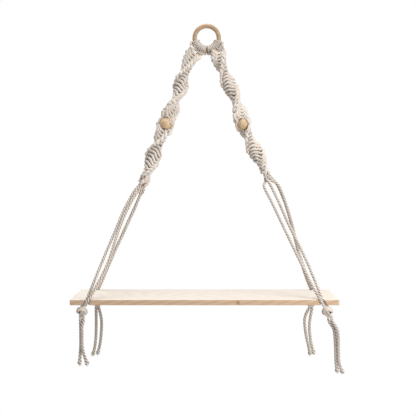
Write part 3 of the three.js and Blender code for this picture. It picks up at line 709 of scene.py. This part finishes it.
# %% Lark's heads on the ring
wrap_radius = ring_tube_radius + cord_clearance + solid_tight_diameter / 2
head_radius = ring_radius + wrap_radius
wrap_pitch = 0.0034
bar_lift = 0.00385
head_tail = 0.008
head_end_front, head_end_inset = 0.0015, 0.00224
head_angles = {"lower": 22, "upper": 58}
head_turns = [(0.5, 55, 0), (0.5, 90, 0), (0.52, 125, 0), (0.6, 165, 0), (0.75, 205, 0), (0.95, 245, 0),
              (1.15, 285, 0), (1.3, 325, 0), (1.4, 360, 0), (1.48, 400, 0), (1.5, 450, 0), (1.52, 485, 0),
              (1.58, 525, 0), (1.66, 565, 0), (1.74, 605, 0), (1.82, 645, 0), (1.9, 685, 0),
              (1.95, 720, 0.06), (1.7, 747, 0.5), (0.95, 757, 1)]


def by_ring(side, angle, radius, front):
    """A place by the ring: the angle from straight down, the distance from its middle."""
    return ring_centre + np.array([side * math.sin(angle) * radius, -front, -math.cos(angle) * radius])


def head_half(side, head, hand):
    """Half a lark's head, from its free end to the middle of its bar."""
    leaves_at = math.radians(head_angles[head]) + hand * wrap_pitch / 2 / head_radius
    places = [by_ring(side, leaves_at, ring_radius + head_tail - inset, head_end_front)
              for inset in (0, head_end_inset)]
    for along, around, lift in head_turns:
        turn = math.radians(head_angles[head]) + hand * along * wrap_pitch / head_radius
        reach = wrap_radius + lift * bar_lift
        around = math.radians(around)
        places.append(by_ring(side, turn, ring_radius + reach * math.cos(around), reach * math.sin(around)))
    return places


wrapped = head_turns[-1][1] - head_turns[0][1]
print("each half of a lark's head goes", wrapped, "degrees round the ring's tube")

# %% [markdown]
# Below the strap the four strands part. The strap's left working strand and left filler go to
# the front edge of the board, the right ones to the rear edge, each pair through one slanted
# notch, in which the cords lie a little outside its middle. Which strand goes where can't be
# seen on such a shelf, but so each folded cord stays on one side. For six shares of the way
# down, the table gives how far each is from the pair's middle in mm, which way in degrees, and
# how far the pair bows sideways in mm, because a limp cord is never quite straight.

# %% Legs
notch_from_end = 0.024
notch_lean = 0.004
pair_along, pair_across, pair_from_edge = 0.0030, 0.0028, 0.0039
pair_shift = 0.0009
leg_shares = (0.03, 0.06, 0.2, 0.4, 0.7, 0.93)
leg_ways = {
    "front_left": {"apart": (2.1, 2.2, 2.2, 2.2, 4.2, 3.0), "turn": (170, 170, 165, 165, 165, 150),
                   "bow": (-1.5, -2.5, -4.5, -3.5, 0, 0)},
    "rear_left": {"apart": (2.1, 2.1, 2.1, 2.1, 2.1, 2.1), "turn": (-100, -100, -100, -100, -100, -125),
                  "bow": (0.3, 0.5, 0.8, 0.5, 0, 0)},
    "front_right": {"apart": (2.3, 4.6, 4.8, 4.2, 4.4, 3.2), "turn": (12, 12, 12, 12, 12, 30),
                    "bow": (-1.5, -3.0, -2.2, -2.0, -0.4, 0)},
    "rear_right": {"apart": (2.1, 2.1, 2.1, 2.1, 2.1, 2.1), "turn": (-80, -80, -80, -80, -80, -55),
                   "bow": (4.0, 8.0, 9.5, 7.5, 1.5, 0)},
}
leg_strands = {"front": {"outer": ("left", "worker"), "inner": ("left", "filler")},
               "rear": {"outer": ("right", "filler"), "inner": ("right", "worker")}}


def in_notch(side, row, which, z):
    """Where a cord passes its notch at a height."""
    lean = notch_lean * (board_top_z - z) / board_thickness
    middle = board_centre_x + side * (board_length / 2 - notch_from_end + lean)
    inward = 1 if row == "front" else -1
    edge = board_front_y if row == "front" else board_rear_y
    hand = 1 if which == "outer" else -1
    return np.array([middle + side * (pair_shift + hand * pair_along / 2),
                     edge + inward * (pair_from_edge + hand * pair_across / 2), z])


def pair_point(strap, row, which, share):
    """A leg's place between strap and notch, beside its partner."""
    corner = f"{row}_left" if strap["side"] < 0 else f"{row}_right"
    names = ("outer", "inner")
    starts = [strand_end(strap, *leg_strands[row][name], cord_diameter) for name in names]
    ends = [in_notch(strap["side"], row, name, board_top_z + cord_diameter) for name in names]
    start, end = (starts[0] + starts[1]) / 2, (ends[0] + ends[1]) / 2
    way = unit(end - start)
    ways = leg_ways[corner]
    apart, turn, bow = (np.interp(share, leg_shares, ways[key]) for key in ("apart", "turn", "bow"))
    offset = Vector((math.cos(math.radians(turn)), math.sin(math.radians(turn)), 0))
    if share < leg_shares[1]:
        leave = Vector(starts[0] - starts[1]).normalized()
        half_way = Euler((0, 0, 0)).to_quaternion().slerp(leave.rotation_difference(offset), 0.5)
        offset = half_way @ leave
    offset = np.array(offset)
    offset = unit(offset - way * offset.dot(way)) * apart * MM
    hand = 1 if which == "outer" else -1
    return start + (end - start) * share + offset * hand + np.array([bow * MM, 0, 0])


print("widest bow of a leg:", max(max(way["bow"]) for way in leg_ways.values()), "mm")

# %% [markdown]
# Under each notch the two cords are tied as one in an overhand knot. The knot's way is a list
# of shares of its half sizes, and both cords follow it side by side, like a flat ribbon. The
# ribbon is carried along without turning, and what it then lacks to meet the tails is spread
# over the knot.

# %% Overhand knots
knot_width, knot_depth, knot_height = 0.014, 0.0115, 0.013
knot_cord = 0.0033
knot_pair = 0.003
knot_drop = 0.0014
knot_stub = 0.0018
tail_spacing = 0.0039
KNOT_STEPS = 20
overhand = [(0.1, 0.05, 1.0), (0.0, 0.15, 0.2), (-0.2, 0.3, -0.75), (-0.75, 0.0, -1.0), (-1.0, -0.35, 0.0),
            (-0.6, -0.85, 0.8), (0.1, -1.0, 1.0), (0.8, -0.6, 0.7), (1.0, 0.1, 0.2), (0.75, 0.8, -0.2),
            (0.1, 1.0, -0.2), (-0.45, 0.55, 0.0), (-0.5, -0.3, -0.1), (-0.3, -0.85, -0.6), (0.0, -0.4, -1.2)]

corners = {
    "front_left": {"strap": "left", "row": "front", "knot_shift": -0.0045, "tail_shift": 0.0},
    "front_right": {"strap": "right", "row": "front", "knot_shift": 0.005, "tail_shift": 0.0035},
    "rear_left": {"strap": "left", "row": "rear", "knot_shift": 0.0015, "tail_shift": 0.002},
    "rear_right": {"strap": "right", "row": "rear", "knot_shift": -0.002, "tail_shift": -0.003},
}


def carried_along(tangents, across):
    """A way across a path, carried along it without turning."""
    ways = []
    for tangent in tangents:
        across = unit(across - tangent * across.dot(tangent))
        ways.append(across)
    return np.array(ways)


def knot_routes(corner):
    """The two cords' ways through the knot, and the places under it where the tails turn."""
    side = straps[corner["strap"]]["side"]
    lean = unit(np.array([side * notch_lean, 0, -board_thickness]))
    inlets = [in_notch(side, corner["row"], which, board_underside_z) + lean * piece_gap
              for which in ("outer", "inner")]
    middle = (inlets[0] + inlets[1]) / 2
    middle[0] += corner["knot_shift"] - side * pair_shift
    middle[2] = board_underside_z - piece_gap - knot_drop - knot_height / 2
    outlets = [np.array([middle[0] + corner["tail_shift"] + side * hand * tail_spacing / 2, middle[1],
                         middle[2] - knot_height / 2 - knot_stub]) for hand in (1, -1)]
    half = np.array([side * (knot_width - knot_cord), knot_depth - knot_cord,
                     knot_height - knot_cord - knot_pair]) / 2
    way = [middle + np.array(share) * half for share in overhand]
    curve = curve_through([(inlets[0] + inlets[1]) / 2, *way, (outlets[0] + outlets[1]) / 2])
    curve = evenly(curve, lengths_along(curve)[-1] / KNOT_STEPS)
    tangents = [unit(curve[min(i + 1, KNOT_STEPS)] - curve[max(i - 1, 0)]) for i in range(KNOT_STEPS + 1)]
    wanted = [unit(pair[0] - pair[1]) for pair in (inlets, outlets)]
    flats = carried_along(tangents, wanted[0])
    last = tangents[-1]
    end = unit(wanted[1] - last * wanted[1].dot(last))
    missing = math.atan2(np.cross(flats[-1], end).dot(last), flats[-1].dot(end))
    routes = []
    for k, hand in enumerate((1, -1)):
        places = [inlets[k] + lean * knot_cord / 2]
        for i in range(1, KNOT_STEPS):
            turn = missing * i / KNOT_STEPS
            flat = flats[i] * math.cos(turn) + np.cross(tangents[i], flats[i]) * math.sin(turn)
            places.append(curve[i] + flat * hand * knot_pair / 2)
        routes.append(places + [outlets[k] + np.array([0, 0, knot_stub])])
    pivots = [outlet - np.array([0, 0, piece_gap + cord_diameter / 2]) for outlet in outlets]
    return routes, pivots


print("a knot is", knot_width, "x", knot_depth, "x", knot_height, "m")

# %% [markdown]
# The tails are the cords' free ends. They hang from the knots and keep a little of the bend
# that the knot gave them. Their places are listed, from the knot down.

# %% Tails
tail_ways = {
    "front_left": {
        "outer": [(0, 0, 0), (0, 0.0005, -0.003), (0.0001, 0.0015, -0.010), (0.0001, 0.0017, -0.023),
                  (0, 0.0017, -0.036), (-0.0008, 0.0012, -0.046), (-0.0016, 0.0008, -0.059)],
        "inner": [(0, 0, 0), (-0.0003, -0.0007, -0.003), (-0.0016, -0.0017, -0.010),
                  (-0.0017, -0.0017, -0.023), (-0.0015, -0.0017, -0.036), (0.0006, -0.0012, -0.046),
                  (0.005, -0.0008, -0.059)]},
    "front_right": {
        "outer": [(0, 0, 0), (0.0007, -0.0007, -0.003), (0.003, -0.0017, -0.0065), (0.0064, -0.002, -0.012),
                  (0.008, -0.002, -0.020), (0.0087, -0.0015, -0.037), (0.0098, -0.0012, -0.057),
                  (0.0144, -0.001, -0.070)],
        "inner": [(0, 0, 0), (0.0005, 0.0008, -0.003), (0.0026, 0.0015, -0.0065), (0.0062, 0.0016, -0.012),
                  (0.008, 0.0014, -0.020), (0.0092, 0.0012, -0.037), (0.0099, 0.001, -0.057),
                  (0.0114, 0.0008, -0.069)]},
    "rear_left": {
        "outer": [(0, 0, 0), (0.0001, 0, -0.012), (0.0001, 0, -0.026), (-0.0009, 0, -0.0475),
                  (-0.003, 0, -0.060), (-0.005, 0, -0.067)],
        "inner": [(0, 0, 0), (0.002, 0, -0.008), (0.0037, 0, -0.018), (0.003, 0, -0.0395), (0.001, 0, -0.054),
                  (-0.002, 0, -0.0655)]},
    "rear_right": {
        "outer": [(0, 0, 0), (-0.001, 0, -0.006), (-0.0022, 0, -0.012), (-0.0037, 0, -0.026),
                  (-0.0017, 0, -0.0475), (0.0027, 0, -0.065)],
        "inner": [(0, 0, 0), (-0.0022, 0, -0.004), (-0.005, 0, -0.010), (-0.0067, 0, -0.018),
                  (-0.0043, 0, -0.040), (-0.0008, 0, -0.055), (0.0011, 0, -0.066)]},
}
print(sum(len(pair) for pair in tail_ways.values()), "tails")

# %% [markdown]
# The real shelf has four cords, each folded at its lark's head, so each is followed here as
# one: from one tip up to the head and down to the other tip. One cord then is cut into the
# named pieces, and the plies run on from piece to piece without a break. A mark keeps the step
# at which a piece begins. The lay, in which the plies turn once, is a little longer than on
# such cord, because finer plies would blur away in a picture of this size.

# %% One half of a cord
# Which side of the strap a cord's two strands run on, and the side of its lark's head, 1 or -1
# along the ring, that its working strand leaves from.
cord_hands = {("left", "lower"): ("right", 1), ("left", "upper"): ("left", 1),
              ("right", "lower"): ("left", -1), ("right", "upper"): ("right", 1)}


def half_cord(name, head, hand, kind, turn):
    """From the middle of a lark's head's bar to a tail's tip, with the place at each break."""
    strap = straps[name]
    row = "front" if hand == "left" else "rear"
    which = next(w for w, strand in leg_strands[row].items() if strand == (hand, kind))
    corner = f"{row}_{name}"
    routes, pivots = knot_routes(corners[corner])
    k = 0 if which == "outer" else 1
    places = head_half(strap["side"], head, turn)[::-1]
    if kind == "filler":
        places = places[1:]
    breaks = {"head": len(places) - 1}
    places += working_route(strap, hand) if kind == "worker" else filler_route(strap, hand)
    places.append(strand_end(strap, hand, kind))
    breaks["leg"] = len(places) - 1
    places += [pair_point(strap, row, which, share) for share in leg_shares]
    places += [in_notch(strap["side"], row, which, z) for z in (board_top_z, board_underside_z)]
    breaks["knot"] = len(places) - 1
    places += routes[k] + [pivots[k]]
    breaks["tail"] = len(places) - 1
    places += [pivots[k] + np.array(offset) for offset in tail_ways[corner][which][1:]]
    return places, breaks, (corner, which)


def parallel_frames(path):
    """Two ways across the path at each step, carried along it without turning."""
    tangents = np.gradient(path, axis=0)
    tangents /= np.linalg.norm(tangents, axis=1)[:, None]
    firsts = carried_along(tangents, np.array([1.0, 0.0, 0.0]))
    return firsts, np.cross(tangents, firsts)


print("a half cord has", len(half_cord("left", "upper", "left", "worker", 1)[0]), "places")

# %% Follow each cord from end to end
STEP = 0.00075
LAY = 0.0128
GROOVE = 0.37
GROOVE_IN_STRAP = GROOVE / 3
SMOOTH_STEPS = 6
TIP_FLARE, FLARE_LENGTH = 0.45, 0.006
cord_crowns = [("tip_one", "tail_one", tail_crown), ("tail_one", "knot_one", knot_crown),
               ("knot_one", "leg_one", leg_crown), ("leg_one", "head_one", strap_crown),
               ("head_one", "head_two", head_crown), ("head_two", "leg_two", strap_crown),
               ("leg_two", "knot_two", leg_crown), ("knot_two", "tail_two", knot_crown),
               ("tail_two", "tip_two", tail_crown)]


def smoothed(values):
    """Values along a cord, each the mean of those near it."""
    window = 2 * SMOOTH_STEPS + 1
    return np.convolve(np.pad(values, SMOOTH_STEPS, mode="edge"), np.ones(window) / window, mode="valid")


def follow_cord(name, head):
    """A folded cord: its path, its ways across, its radii and the step at which each piece begins."""
    hand, turn = cord_hands[(name, head)]
    one, one_breaks, one_names = half_cord(name, head, hand, "worker", turn)
    two, two_breaks, two_names = half_cord(name, head, hand, "filler", -turn)
    last = len(one) - 1
    curve = curve_through(one[::-1] + two)
    lengths = lengths_along(curve)
    path = evenly(curve, STEP)
    step = lengths[-1] / (len(path) - 1)
    marks = {"tip_one": 0, "tip_two": len(path) - 1}
    for part in ("head", "leg", "knot", "tail"):
        for end, place in (("one", last - one_breaks[part]), ("two", last + 1 + two_breaks[part])):
            marks[f"{part}_{end}"] = round(lengths[place * SPAN_STEPS] / step)
    radii = np.full(len(path), tail_crown / 2)
    for first, until, crown in cord_crowns:
        radii[marks[first]:marks[until]] = crown / 2
    grooves = np.full(len(path), GROOVE)
    grooves[marks["leg_one"]:marks["leg_two"]] = GROOVE_IN_STRAP
    from_tip = np.minimum(np.arange(len(path)), len(path) - 1 - np.arange(len(path))) * step
    radii = smoothed(radii) * (1 + TIP_FLARE * np.clip(1 - from_tip / FLARE_LENGTH, 0, 1))
    print(name, head, "cord of", round(lengths[-1], 3), "m in", len(path), "steps")
    return {"name": name, "hand": hand, "path": path, "ways": parallel_frames(path), "radii": radii,
            "grooves": smoothed(grooves), "marks": marks, "step": step, "corners": (one_names, two_names)}


cords = {(name, head): follow_cord(name, head) for name in straps for head in head_angles}

# %% [markdown]
# A laid cord's section is three round plies pressed together. The section below has a valley
# between each two, and turns steadily along the cord. In a strap the cords are pressed so hard
# that their valleys are shallow. Rings of corners are joined to a tube, and the tube's map and
# valley depth are kept on the mesh for the finish.

# %% The cord's section, ring after ring
PLIES = 3
SIDES_PER_PLY = 5
SIDES = PLIES * SIDES_PER_PLY
MAP_LENGTH = 0.01


def ply_section():
    """How deep in a valley each corner of the section lies, from 0 on a ply's crown to 1."""
    from_crown = (np.arange(SIDES) / SIDES_PER_PLY + 0.5) % 1 - 0.5
    return (2 * np.abs(from_crown)) ** 2


def cord_rings(cord, first, last):
    """The corner places of each ring from one step to another, either way along the cord."""
    valleys = ply_section()
    across, upright = cord["ways"]
    corner_turns = 2 * math.pi * np.arange(SIDES) / SIDES
    backwards = last < first
    steps = range(first, last - 1, -1) if backwards else range(first, last + 1)
    rings, depths = [], []
    for i in steps:
        turn = corner_turns - 2 * math.pi * i * cord["step"] / LAY
        reach = cord["radii"][i] * (1 - cord["grooves"][i] * valleys)
        depths.append(valleys * (cord["grooves"][i] / GROOVE) ** 0.5)
        rings.append(cord["path"][i] + np.outer(reach * np.cos(turn), across[i])
                     + np.outer(reach * np.sin(turn), upright[i]))
    return np.array(rings), np.array([i * cord["step"] for i in steps]), np.array(depths), backwards


def join_rings(parts):
    """One mesh's corners, faces, map and valleys from several runs of rings."""
    places, faces, maps, depths = [], [], [], []
    for rings, along, valleys, backwards in parts:
        base = sum(len(run) for run in places)
        count = len(rings)
        places.append(rings.reshape(-1, 3))
        depths.append(valleys.ravel())
        for i in range(count - 1):
            for k in range(SIDES):
                after = (k + 1) % SIDES
                quad = [(i, k, k), (i, after, k + 1), (i + 1, after, k + 1), (i + 1, k, k)]
                if backwards:
                    quad.reverse()
                faces.append([base + ring * SIDES + corner for ring, corner, _ in quad])
                maps.append([(u / SIDES, along[ring] / MAP_LENGTH) for ring, _, u in quad])
        for ring, flip in ((0, not backwards), (count - 1, backwards)):
            cap = [base + ring * SIDES + k for k in range(SIDES)]
            faces.append(cap[::-1] if flip else cap)
            maps.append([(0.5, along[ring] / MAP_LENGTH)] * SIDES)
    return np.vstack(places), faces, maps, np.concatenate(depths)


print("a cord's section has", SIDES, "corners")

# %% [markdown]
# Where cords lie on each other, what lies deep gets painted shade, darker than the outside. How
# deep a place lies is worked out from its distance to the middle of the strap, of the ring's
# tube or of the knot, as a share of that form's own size.

# %% How deep a place lies between the cords
FRAME_STEP = 0.001
STRAP_HALF_WIDTH, STRAP_HALF_DEPTH = 0.0115, 0.0052
STRAP_DEEP_FROM, STRAP_DEEP_OVER, STRAP_DEEPEST = 0.93, 0.4, 0.85
KNOT_DEEP_FROM, KNOT_DEEP_OVER = 0.86, 0.35
# the least painted shade that every lark's head gets, even on its outside
HEAD_SHADE = 0.62
head_deep_shares = (0.42, 0.45)
head_deep_from = wrap_radius + head_crown * head_deep_shares[0]
head_deep_over = head_crown * head_deep_shares[1]


def dots(first, second):
    return np.einsum("ij,ij->i", first, second)


def depth_in_strap(strap, places):
    """How deep each place lies in a strap, from 0 on its outside to 1 between its cords."""
    frames = [strap_frame(strap, d) for d in np.arange(0, strap["lengths"][-1], FRAME_STEP)]

    def frames_at(at):
        nearest = np.clip(np.round(at / FRAME_STEP).astype(int), 0, len(frames) - 1)
        return (np.array(part)[nearest] for part in zip(*frames))

    at = np.interp(-places[:, 2], -strap["line"][:, 2], strap["lengths"])
    middles, _, _, downs = frames_at(at)
    at = at + dots(places - middles, downs)
    middles, rights, fronts, _ = frames_at(at)
    turns = np.array([strap_turn(strap, d) for d in at])
    right, front = (dots(places - middles, ways) for ways in (rights, fronts))
    across = right * np.cos(turns) + front * np.sin(turns)
    ahead = front * np.cos(turns) - right * np.sin(turns)
    out = np.sqrt((across / STRAP_HALF_WIDTH) ** 4 + (ahead / STRAP_HALF_DEPTH) ** 4) ** 0.5
    past_first_knot = np.clip((at - knots_from + EARLIER["upper"]) / half_knot_pitch + 1, 0, 1)
    return np.clip((STRAP_DEEP_FROM - out) / STRAP_DEEP_OVER, 0, STRAP_DEEPEST) * past_first_knot


def depth_at_ring(places):
    """The same on the lark's heads, by the distance from the ring's own middle line."""
    flat = np.linalg.norm((places - ring_centre)[:, [0, 2]], axis=1) - ring_radius
    out = np.hypot(flat, places[:, 1])
    # never below HEAD_SHADE, so the heads carry painted shade all over
    return np.clip(HEAD_SHADE + (head_deep_from - out) / head_deep_over, HEAD_SHADE, 1)


def depth_in_knot(places):
    """The same in an overhand knot, by the distance from its middle."""
    middle = (places.max(axis=0) + places.min(axis=0)) / 2
    half = (places.max(axis=0) - places.min(axis=0)) / 2
    out = np.linalg.norm((places - middle) / half, axis=1)
    return np.clip((KNOT_DEEP_FROM - out) / KNOT_DEEP_OVER, 0, 1)


print("a strap is about", 2 * STRAP_HALF_WIDTH, "m wide where it lies flat")

# %% Dress a rope piece
# how strong the painted shade is: CROWD_SHADE all over straps, heads and knots, DEEP_SHADE more deep between
# the cords
VALLEY_POWER, STRAP_VALLEY_POWER = 0.7, 1.5
CROWD_SHADE, DEEP_SHADE = 0.11, 0.44


def rope_mesh(name, places, faces):
    """A mesh with the rope finish, whose map and valleys are still to be filled."""
    mesh = bpy.data.meshes.new(name)
    mesh.from_pydata([tuple(place) for place in places], [], faces)
    mesh.uv_layers.new(name="cord")
    mesh.attributes.new("valley", "FLOAT", "POINT")
    mesh.materials.append(rope)
    return mesh


def rope_object(name, mesh, body):
    """The object of a rope mesh, riding on its body."""
    mesh.validate()
    piece = bpy.data.objects.new(name, mesh)
    bpy.context.scene.collection.objects.link(piece)
    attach(piece, body)
    return piece


def cord_piece(name, parts, body, nodes, deep=None):
    """A rope piece of one or more runs of cord, in place of the solids that it stands for."""
    places, faces, maps, depths = join_rings(parts)
    # painted shade: in the plies' valleys, and in crowded pieces also all over and deep between the cords
    shades = depths**VALLEY_POWER
    if deep:
        shades = CROWD_SHADE + DEEP_SHADE * np.maximum(depths**STRAP_VALLEY_POWER, deep(places))
    mesh = rope_mesh(name, places, faces)
    flat_map = np.array([value for face in maps for pair in face for value in pair], np.float32)
    mesh.uv_layers["cord"].data.foreach_set("uv", flat_map)
    mesh.attributes["valley"].data.foreach_set("value", shades.astype(np.float32))
    mesh.polygons.foreach_set("use_smooth", [True] * len(mesh.polygons))
    piece = rope_object(name, mesh, body)
    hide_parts(*nodes)
    return piece


print("shade between cords from", CROWD_SHADE, "to", round(CROWD_SHADE + DEEP_SHADE, 2))

# %% Ropes of the straps, legs and knots
knot_parts = {}
for (name, head), cord in cords.items():
    marks, hand = cord["marks"], cord["hand"]
    (corner_one, which_one), (corner_two, which_two) = cord["corners"]
    in_this_strap = partial(depth_in_strap, straps[name])
    pieces = [
        (f"{name}_{head}_lark_rope", "head_one", "head_two", f"{name}_larks_head_{head}", depth_at_ring),
        (f"{name}_worker_{hand}_rope", "leg_one", "head_one", f"{name}_working_strand_{hand}", in_this_strap),
        (f"{name}_filler_{hand}_rope", "head_two", "leg_two", f"{name}_filler_{hand}", in_this_strap),
        (f"{corner_one}_{which_one}_leg_rope", "knot_one", "leg_one", f"{corner_one}_leg_{which_one}", None),
        (f"{corner_two}_{which_two}_leg_rope", "leg_two", "knot_two", f"{corner_two}_leg_{which_two}", None)]
    for piece_name, first, last, solid, deep in pieces:
        cord_piece(piece_name, [cord_rings(cord, marks[first], marks[last])], "shelf", [solid], deep)
    knot_parts.setdefault(corner_one, []).append(cord_rings(cord, marks["tail_one"], marks["knot_one"]))
    knot_parts.setdefault(corner_two, []).append(cord_rings(cord, marks["knot_two"], marks["tail_two"]))

for corner, parts in knot_parts.items():
    cord_piece(f"{corner}_knot_rope", parts, "shelf", [f"{corner}_knot"], depth_in_knot)
print(len(knot_parts), "knots tied")

# %% [markdown]
# A tail's upper end is rounded about the point on which it turns, so that it stays joined to
# its knot when it swings. Its tip is cut and a little swollen, because the plies open there,
# and a few fibres stand out of the cut.

# %% A tail and its frayed tip
DOME_SHARES = (0.97, 0.8, 0.45)
FIBRES = 26
FIBRE_ROOT, FIBRE_RINGS, FIBRE_TAPER = 0.0012, 4, 0.6
FIBRES_WITHIN_SHARE = 0.42
FIBRE_REACHES, FIBRE_BENDS, FIBRE_THICKS = (0.0018, 0.0042), (0.1, 0.45), (0.00016, 0.0003)


def tail_piece(corner, which, cord, first, last):
    """A tail from its rounded top to its cut, and its path."""
    rings, along, valleys, backwards = cord_rings(cord, first, last)
    pivot = cord["path"][first]
    way = unit(pivot - cord["path"][first + (1 if last > first else -1)])
    flat = rings[0] - pivot
    dome = [pivot + flat * math.sqrt(1 - share**2) + way * share * cord["radii"][first]
            for share in DOME_SHARES]
    rings = np.vstack([np.array(dome), rings])
    along = np.concatenate([[along[0]] * len(dome), along])
    valleys = np.vstack([valleys[:1]] * len(dome) + [valleys])
    piece = cord_piece(f"{corner}_{which}_tail_rope", [(rings, along, valleys, backwards)],
                       f"{corner}_tails", [f"{corner}_tail_{which}"])
    path = cord["path"][first:last + 1] if last > first else cord["path"][last:first + 1][::-1]
    return piece, path


def fray(name, tip, way, body):
    """The fibres at a cut tip: thin tapered threads that spread a little."""
    chance = np.random.default_rng(sum(ord(letter) for letter in name))
    side = unit(np.cross(way, [0.0, 1.0, 0.0]))
    ahead = np.cross(way, side)
    places, faces = [], []
    for _ in range(FIBRES):
        turn = chance.uniform(0, 2 * math.pi)
        out = math.sqrt(chance.uniform(0, 1)) * cord_diameter * FIBRES_WITHIN_SHARE
        spread = side * math.cos(turn) + ahead * math.sin(turn)
        start = tip + spread * out - way * FIBRE_ROOT
        reach = chance.uniform(*FIBRE_REACHES)
        bend = chance.uniform(*FIBRE_BENDS) * out / (cord_diameter / 2)
        thick = chance.uniform(*FIBRE_THICKS)
        base = len(places)
        for k in range(FIBRE_RINGS):
            share = k / (FIBRE_RINGS - 1)
            middle = start + way * reach * share + spread * reach * bend * share**2
            wide = thick * (1 - FIBRE_TAPER * share)
            places += [middle + out_by for out_by in (side * wide, ahead * wide, -side * wide, -ahead * wide)]
        for k in range(FIBRE_RINGS - 1):
            ring = base + 4 * k
            faces += [[ring + c, ring + (c + 1) % 4, ring + 4 + (c + 1) % 4, ring + 4 + c] for c in range(4)]
        top = base + 4 * (FIBRE_RINGS - 1)
        faces += [[base + 3, base + 2, base + 1, base], [top, top + 1, top + 2, top + 3]]
    return rope_object(name, rope_mesh(name, places, faces), body)


print(FIBRES, "fibres at a tip, up to", FIBRE_REACHES[1], "m long")

# %% The eight tails and their frayed tips
for cord in cords.values():
    marks = cord["marks"]
    ends = [(cord["corners"][0], marks["tail_one"], marks["tip_one"]),
            (cord["corners"][1], marks["tail_two"], marks["tip_two"])]
    for (corner, which), first, last in ends:
        piece, path = tail_piece(corner, which, cord, first, last)
        tuft = fray(f"{corner}_{which}_tail_tip", path[-1], unit(path[-1] - path[-3]), f"{corner}_tails")

# %% [markdown]
# The ring is turned and sanded: a round section, a little flattened where it was sanded
# inside. A torus is added at its size, and its innermost faces are pressed out slightly.

# %% Ring
RING_STEPS, TUBE_STEPS = 96, 32
SANDED_FROM_SHARE, SANDED_AWAY_SHARE = 0.82, 0.6

bpy.ops.object.select_all(action="DESELECT")
bpy.ops.mesh.primitive_torus_add(major_segments=RING_STEPS, minor_segments=TUBE_STEPS,
                                 major_radius=ring_radius, minor_radius=ring_tube_radius,
                                 location=tuple(ring_centre), rotation=(math.pi / 2, 0, 0))
ring = bpy.context.object
ring.name = "ring_turned"
bpy.ops.object.transform_apply(location=True, rotation=True, scale=True)
inner = ring_radius - SANDED_FROM_SHARE * ring_tube_radius
for vertex in ring.data.vertices:
    out = Vector((vertex.co.x, 0, vertex.co.z)) - Vector((0, 0, ring_centre[2]))
    if out.length < inner:
        vertex.co += out.normalized() * (inner - out.length) * SANDED_AWAY_SHARE
bpy.ops.object.shade_smooth()
ring.data.materials.clear()
ring.data.materials.append(ring_wood)
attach(ring, "ring")
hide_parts("ring")
print("ring of", len(ring.data.polygons), "faces")

# %% [markdown]
# A bead is turned too: a ball with a hole along it and softly broken rims. Its outline is
# drawn in half and spun once round, because a sphere primitive has no hole and a cut one has
# no rims.

# %% The bead's outline
bead_hole_radius = 0.004
bead_rim = 0.0007
BALL_PLACES, RIM_PLACES = 25, 5
RIM_FROM = 0.25


def bead_outline():
    """Half the bead's section: over the ball, round the rim and back through the hole."""
    reach = math.acos((bead_hole_radius + bead_rim) / bead_radius)
    ball = [(bead_radius * math.cos(a), bead_radius * math.sin(a))
            for a in np.linspace(-reach, reach, BALL_PLACES)]
    rim_x, rim_z = bead_hole_radius + bead_rim, ball[-1][1] - bead_rim
    rounding = [(rim_x - bead_rim * math.sin(a), rim_z + bead_rim * math.cos(a))
                for a in np.linspace(RIM_FROM, math.pi / 2, RIM_PLACES)]
    return ball + rounding + [(x, -z) for x, z in rounding[::-1]]


print("bead outline of", len(bead_outline()), "places")

# %% Beads
BEAD_STEPS = 48
MERGE_WITHIN = 1e-6


def turned_bead(name, strap, body, node_name):
    outline = bead_outline()
    edges = [(k, (k + 1) % len(outline)) for k in range(len(outline))]
    mesh = bpy.data.meshes.new(name)
    mesh.from_pydata([(x, 0, z) for x, z in outline], edges, [])
    bead = bpy.data.objects.new(name, mesh)
    bpy.context.scene.collection.objects.link(bead)
    bpy.ops.object.select_all(action="DESELECT")
    bpy.context.view_layer.objects.active = bead
    bead.select_set(True)
    bpy.ops.object.mode_set(mode="EDIT")
    bpy.ops.mesh.select_all(action="SELECT")
    bpy.ops.mesh.spin(steps=BEAD_STEPS, angle=2 * math.pi, center=(0, 0, 0), axis=(0, 0, 1))
    bpy.ops.mesh.remove_doubles(threshold=MERGE_WITHIN)
    bpy.ops.mesh.normals_make_consistent(inside=False)
    bpy.ops.object.mode_set(mode="OBJECT")
    middle, _, _, down = strap_frame(strap, strap["bead_at"])
    bead.rotation_mode = "QUATERNION"
    bead.rotation_quaternion = Vector((0, 0, -1)).rotation_difference(Vector(down))
    bead.location = tuple(middle)
    bpy.ops.object.transform_apply(location=True, rotation=True, scale=True)
    bpy.ops.object.shade_smooth()
    bead.data.materials.append(bead_wood)
    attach(bead, body)
    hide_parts(node_name)
    print(name, "at", [round(float(c), 4) for c in middle])


for name, strap in straps.items():
    turned_bead(f"{name}_bead_turned", strap, f"{name}_bead", f"{name}_bead")
